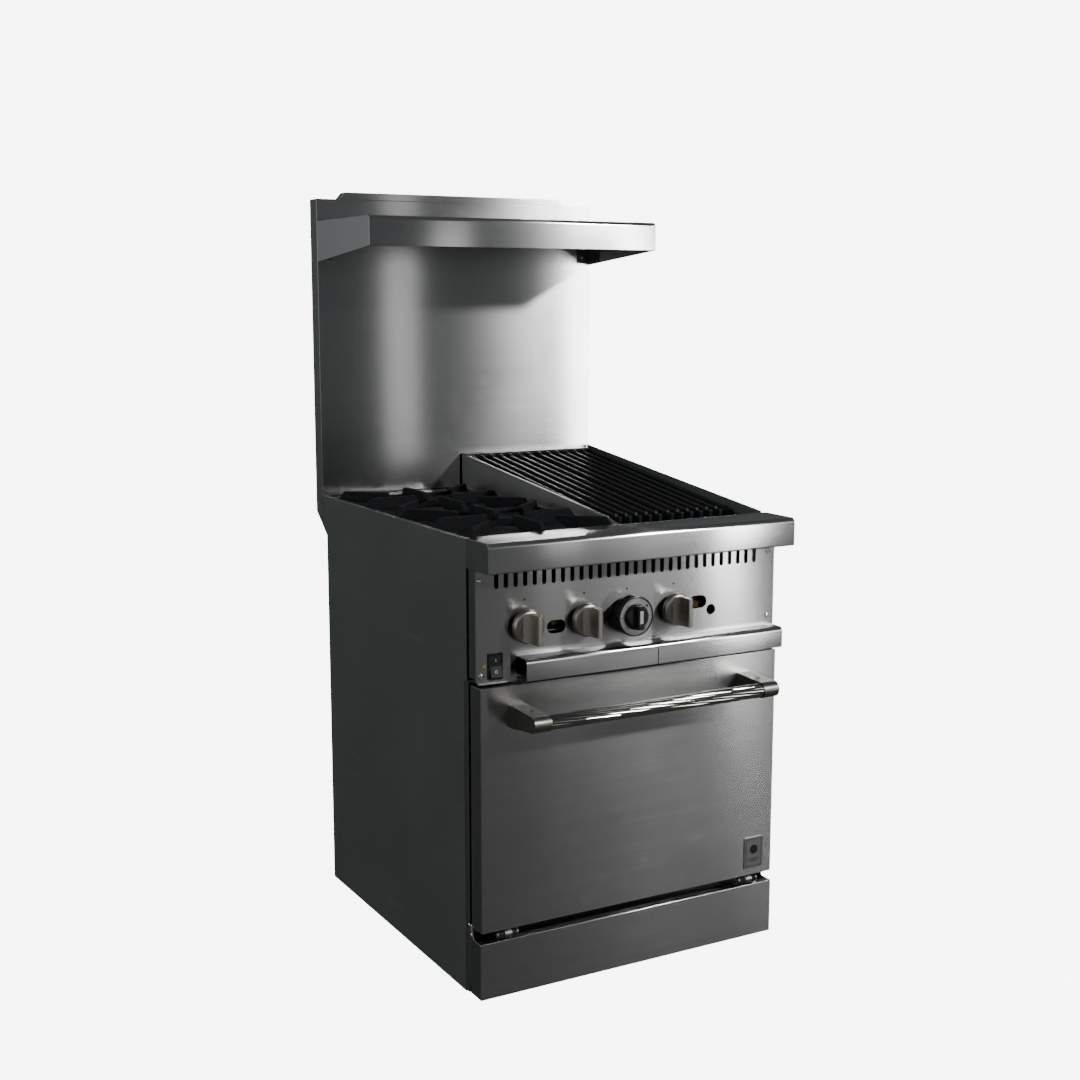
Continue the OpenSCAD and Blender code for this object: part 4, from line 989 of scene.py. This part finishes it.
class RANGE_OT_studio(Operator):
    """Set the camera, the pale floor and the lights"""

    bl_idname = "gas_range.studio"
    bl_label = "Studio"

    LENS, SENSOR = 51.08, 36.0
    CAMERA, LOOK = (-1.3979, -2.4703, 1.1674), (0.48251, 0.86189, -0.15596)
    FLOOR_GLOW, ROOM_GLOW = 7.0, 9.0  # seen by the camera only
    FLOOR_BOUNCE = (0.16, 0.16, 0.16, 1)  # the floor as light and reflections meet it
    ROOM_STOPS = (  # the room in reflections, from the left to the right
        (0.0, (1.75, 1.86, 1.84, 1)), (0.38, (0.20, 0.21, 0.22, 1)), (1.0, (0.18, 0.19, 0.20, 1)),
    )

    def execute(self, context):
        studio = settings()[2]
        scene = context.scene
        camera = bpy.data.objects.new("camera", bpy.data.cameras.new("camera"))
        camera.data.lens, camera.data.sensor_width = self.LENS, self.SENSOR
        camera.location = self.CAMERA
        camera.rotation_euler = Vector(self.LOOK).to_track_quat("-Z", "Y").to_euler()
        scene.collection.objects.link(camera)
        scene.camera = camera
        self.floor(scene, studio)
        self.room(scene, studio)
        self.light(scene, "key_light", (3.10, -4.31, 3.28), (0.0, 0.0, 0.75), 0.28, 0.4, studio.key)
        self.light(scene, "strip_light", (1.433, -3.13, 1.05), (0.0, 0.0, 0.85), 0.14, 1.3, studio.strip)
        self.light(scene, "tall_light", (3.10, -4.31, 0.95), (0.0, 0.0, 0.6), 0.16, 1.8, studio.tall)
        self.light(scene, "top_light", (-0.5, -0.6, 3.4), (0.0, 0.0, 0.8), 1.6, 1.6, studio.fill)
        return {"FINISHED"}

    def light(self, scene, name, place, target, width, height, power):
        """A soft box at a place, turned to a target."""
        data = bpy.data.lights.new(name, "AREA")
        data.shape, data.size, data.size_y, data.energy = "RECTANGLE", width, height, power
        obj = bpy.data.objects.new(name, data)
        obj.location = place
        obj.rotation_euler = (Vector(target) - Vector(place)).to_track_quat("-Z", "Y").to_euler()
        scene.collection.objects.link(obj)

    def floor(self, scene, studio):
        """A plain disc, nearly white to the eye and dim in reflections."""
        bm = bmesh.new()
        bmesh.ops.create_circle(bm, cap_ends=True, segments=96, radius=14.0)
        mesh = bpy.data.meshes.new("studio_floor")
        bm.to_mesh(mesh)
        bm.free()
        material = bpy.data.materials.new("studio_floor")
        material.use_nodes = True
        tree = material.node_tree
        tree.nodes.clear()
        new, link = tree.nodes.new, tree.links.new
        output, seen = new("ShaderNodeOutputMaterial"), new("ShaderNodeLightPath")
        lit, bounced, glow = new("ShaderNodeBsdfDiffuse"), new("ShaderNodeBsdfDiffuse"), new("ShaderNodeEmission")
        add, mix = new("ShaderNodeAddShader"), new("ShaderNodeMixShader")
        lit.inputs["Color"].default_value = (*studio.floor, 1)
        bounced.inputs["Color"].default_value = self.FLOOR_BOUNCE
        glow.inputs["Strength"].default_value = self.FLOOR_GLOW
        link(lit.outputs[0], add.inputs[0])
        link(glow.outputs[0], add.inputs[1])
        link(seen.outputs["Is Camera Ray"], mix.inputs[0])
        link(bounced.outputs[0], mix.inputs[1])
        link(add.outputs[0], mix.inputs[2])
        link(mix.outputs[0], output.inputs["Surface"])
        mesh.materials.append(material)
        obj = bpy.data.objects.new("studio_floor", mesh)
        scene.collection.objects.link(obj)

    def room(self, scene, studio):
        """White to the eye, dim and graded in reflections."""
        world = bpy.data.worlds.new("studio_room")
        scene.world = world
        world.use_nodes = True
        tree = world.node_tree
        tree.nodes.clear()
        new, link = tree.nodes.new, tree.links.new
        output, seen, coords = new("ShaderNodeOutputWorld"), new("ShaderNodeLightPath"), new("ShaderNodeTexCoord")
        split, span, ramp = new("ShaderNodeSeparateXYZ"), new("ShaderNodeMapRange"), new("ShaderNodeValToRGB")
        white, dim, mix = new("ShaderNodeBackground"), new("ShaderNodeBackground"), new("ShaderNodeMixShader")
        link(coords.outputs["Generated"], split.inputs[0])
        span.inputs["From Min"].default_value = -1.0
        link(split.outputs[0], span.inputs["Value"])
        link(span.outputs[0], ramp.inputs[0])
        ramp.color_ramp.elements.new(0.5)
        for element, (position, colour) in zip(ramp.color_ramp.elements, self.ROOM_STOPS):
            element.position, element.color = position, colour
        link(ramp.outputs[0], dim.inputs["Color"])
        dim.inputs["Strength"].default_value = studio.ambient
        white.inputs["Strength"].default_value = self.ROOM_GLOW
        link(seen.outputs["Is Camera Ray"], mix.inputs[0])
        link(dim.outputs[0], mix.inputs[1])
        link(white.outputs[0], mix.inputs[2])
        link(mix.outputs[0], output.inputs["Surface"])


OPERATORS = (
    RANGE_OT_sheet_steel, RANGE_OT_cabinet, RANGE_OT_castings, RANGE_OT_oven, RANGE_OT_gas_train,
    RANGE_OT_burner_knobs, RANGE_OT_oven_dial, RANGE_OT_switch, RANGE_OT_hole_shade, RANGE_OT_handle,
    RANGE_OT_badge, RANGE_OT_door_springs, RANGE_OT_studio,
)


class RANGE_PT_sidebar(Panel):
    """Lists the range's settings and pieces"""

    bl_idname = "RANGE_PT_sidebar"
    bl_label = "Gas Range"
    bl_space_type = "VIEW_3D"
    bl_region_type = "UI"
    bl_category = "Gas Range"

    def draw(self, context):
        for group in (context.scene.range_finish, context.scene.range_detail, context.scene.range_studio):
            box = self.layout.box()
            for name in group.__annotations__:
                box.prop(group, name)
        for operator in OPERATORS:
            self.layout.operator(operator.bl_idname)


CLASSES = (RangeFinish, RangeDetail, RangeStudio, *OPERATORS, RANGE_PT_sidebar)


def register():
    for cls in CLASSES:
        bpy.utils.register_class(cls)
    bpy.types.Scene.range_finish = PointerProperty(type=RangeFinish)
    bpy.types.Scene.range_detail = PointerProperty(type=RangeDetail)
    bpy.types.Scene.range_studio = PointerProperty(type=RangeStudio)


def unregister():
    del bpy.types.Scene.range_studio, bpy.types.Scene.range_detail, bpy.types.Scene.range_finish
    for cls in reversed(CLASSES):
        bpy.utils.unregister_class(cls)


def main():
    register()
    for operator in OPERATORS:
        group, name = operator.bl_idname.split(".")
        if getattr(getattr(bpy.ops, group), name)() != {"FINISHED"}:
            raise RuntimeError(operator.bl_label + " did not finish")


if __name__ == "__main__":
    main()
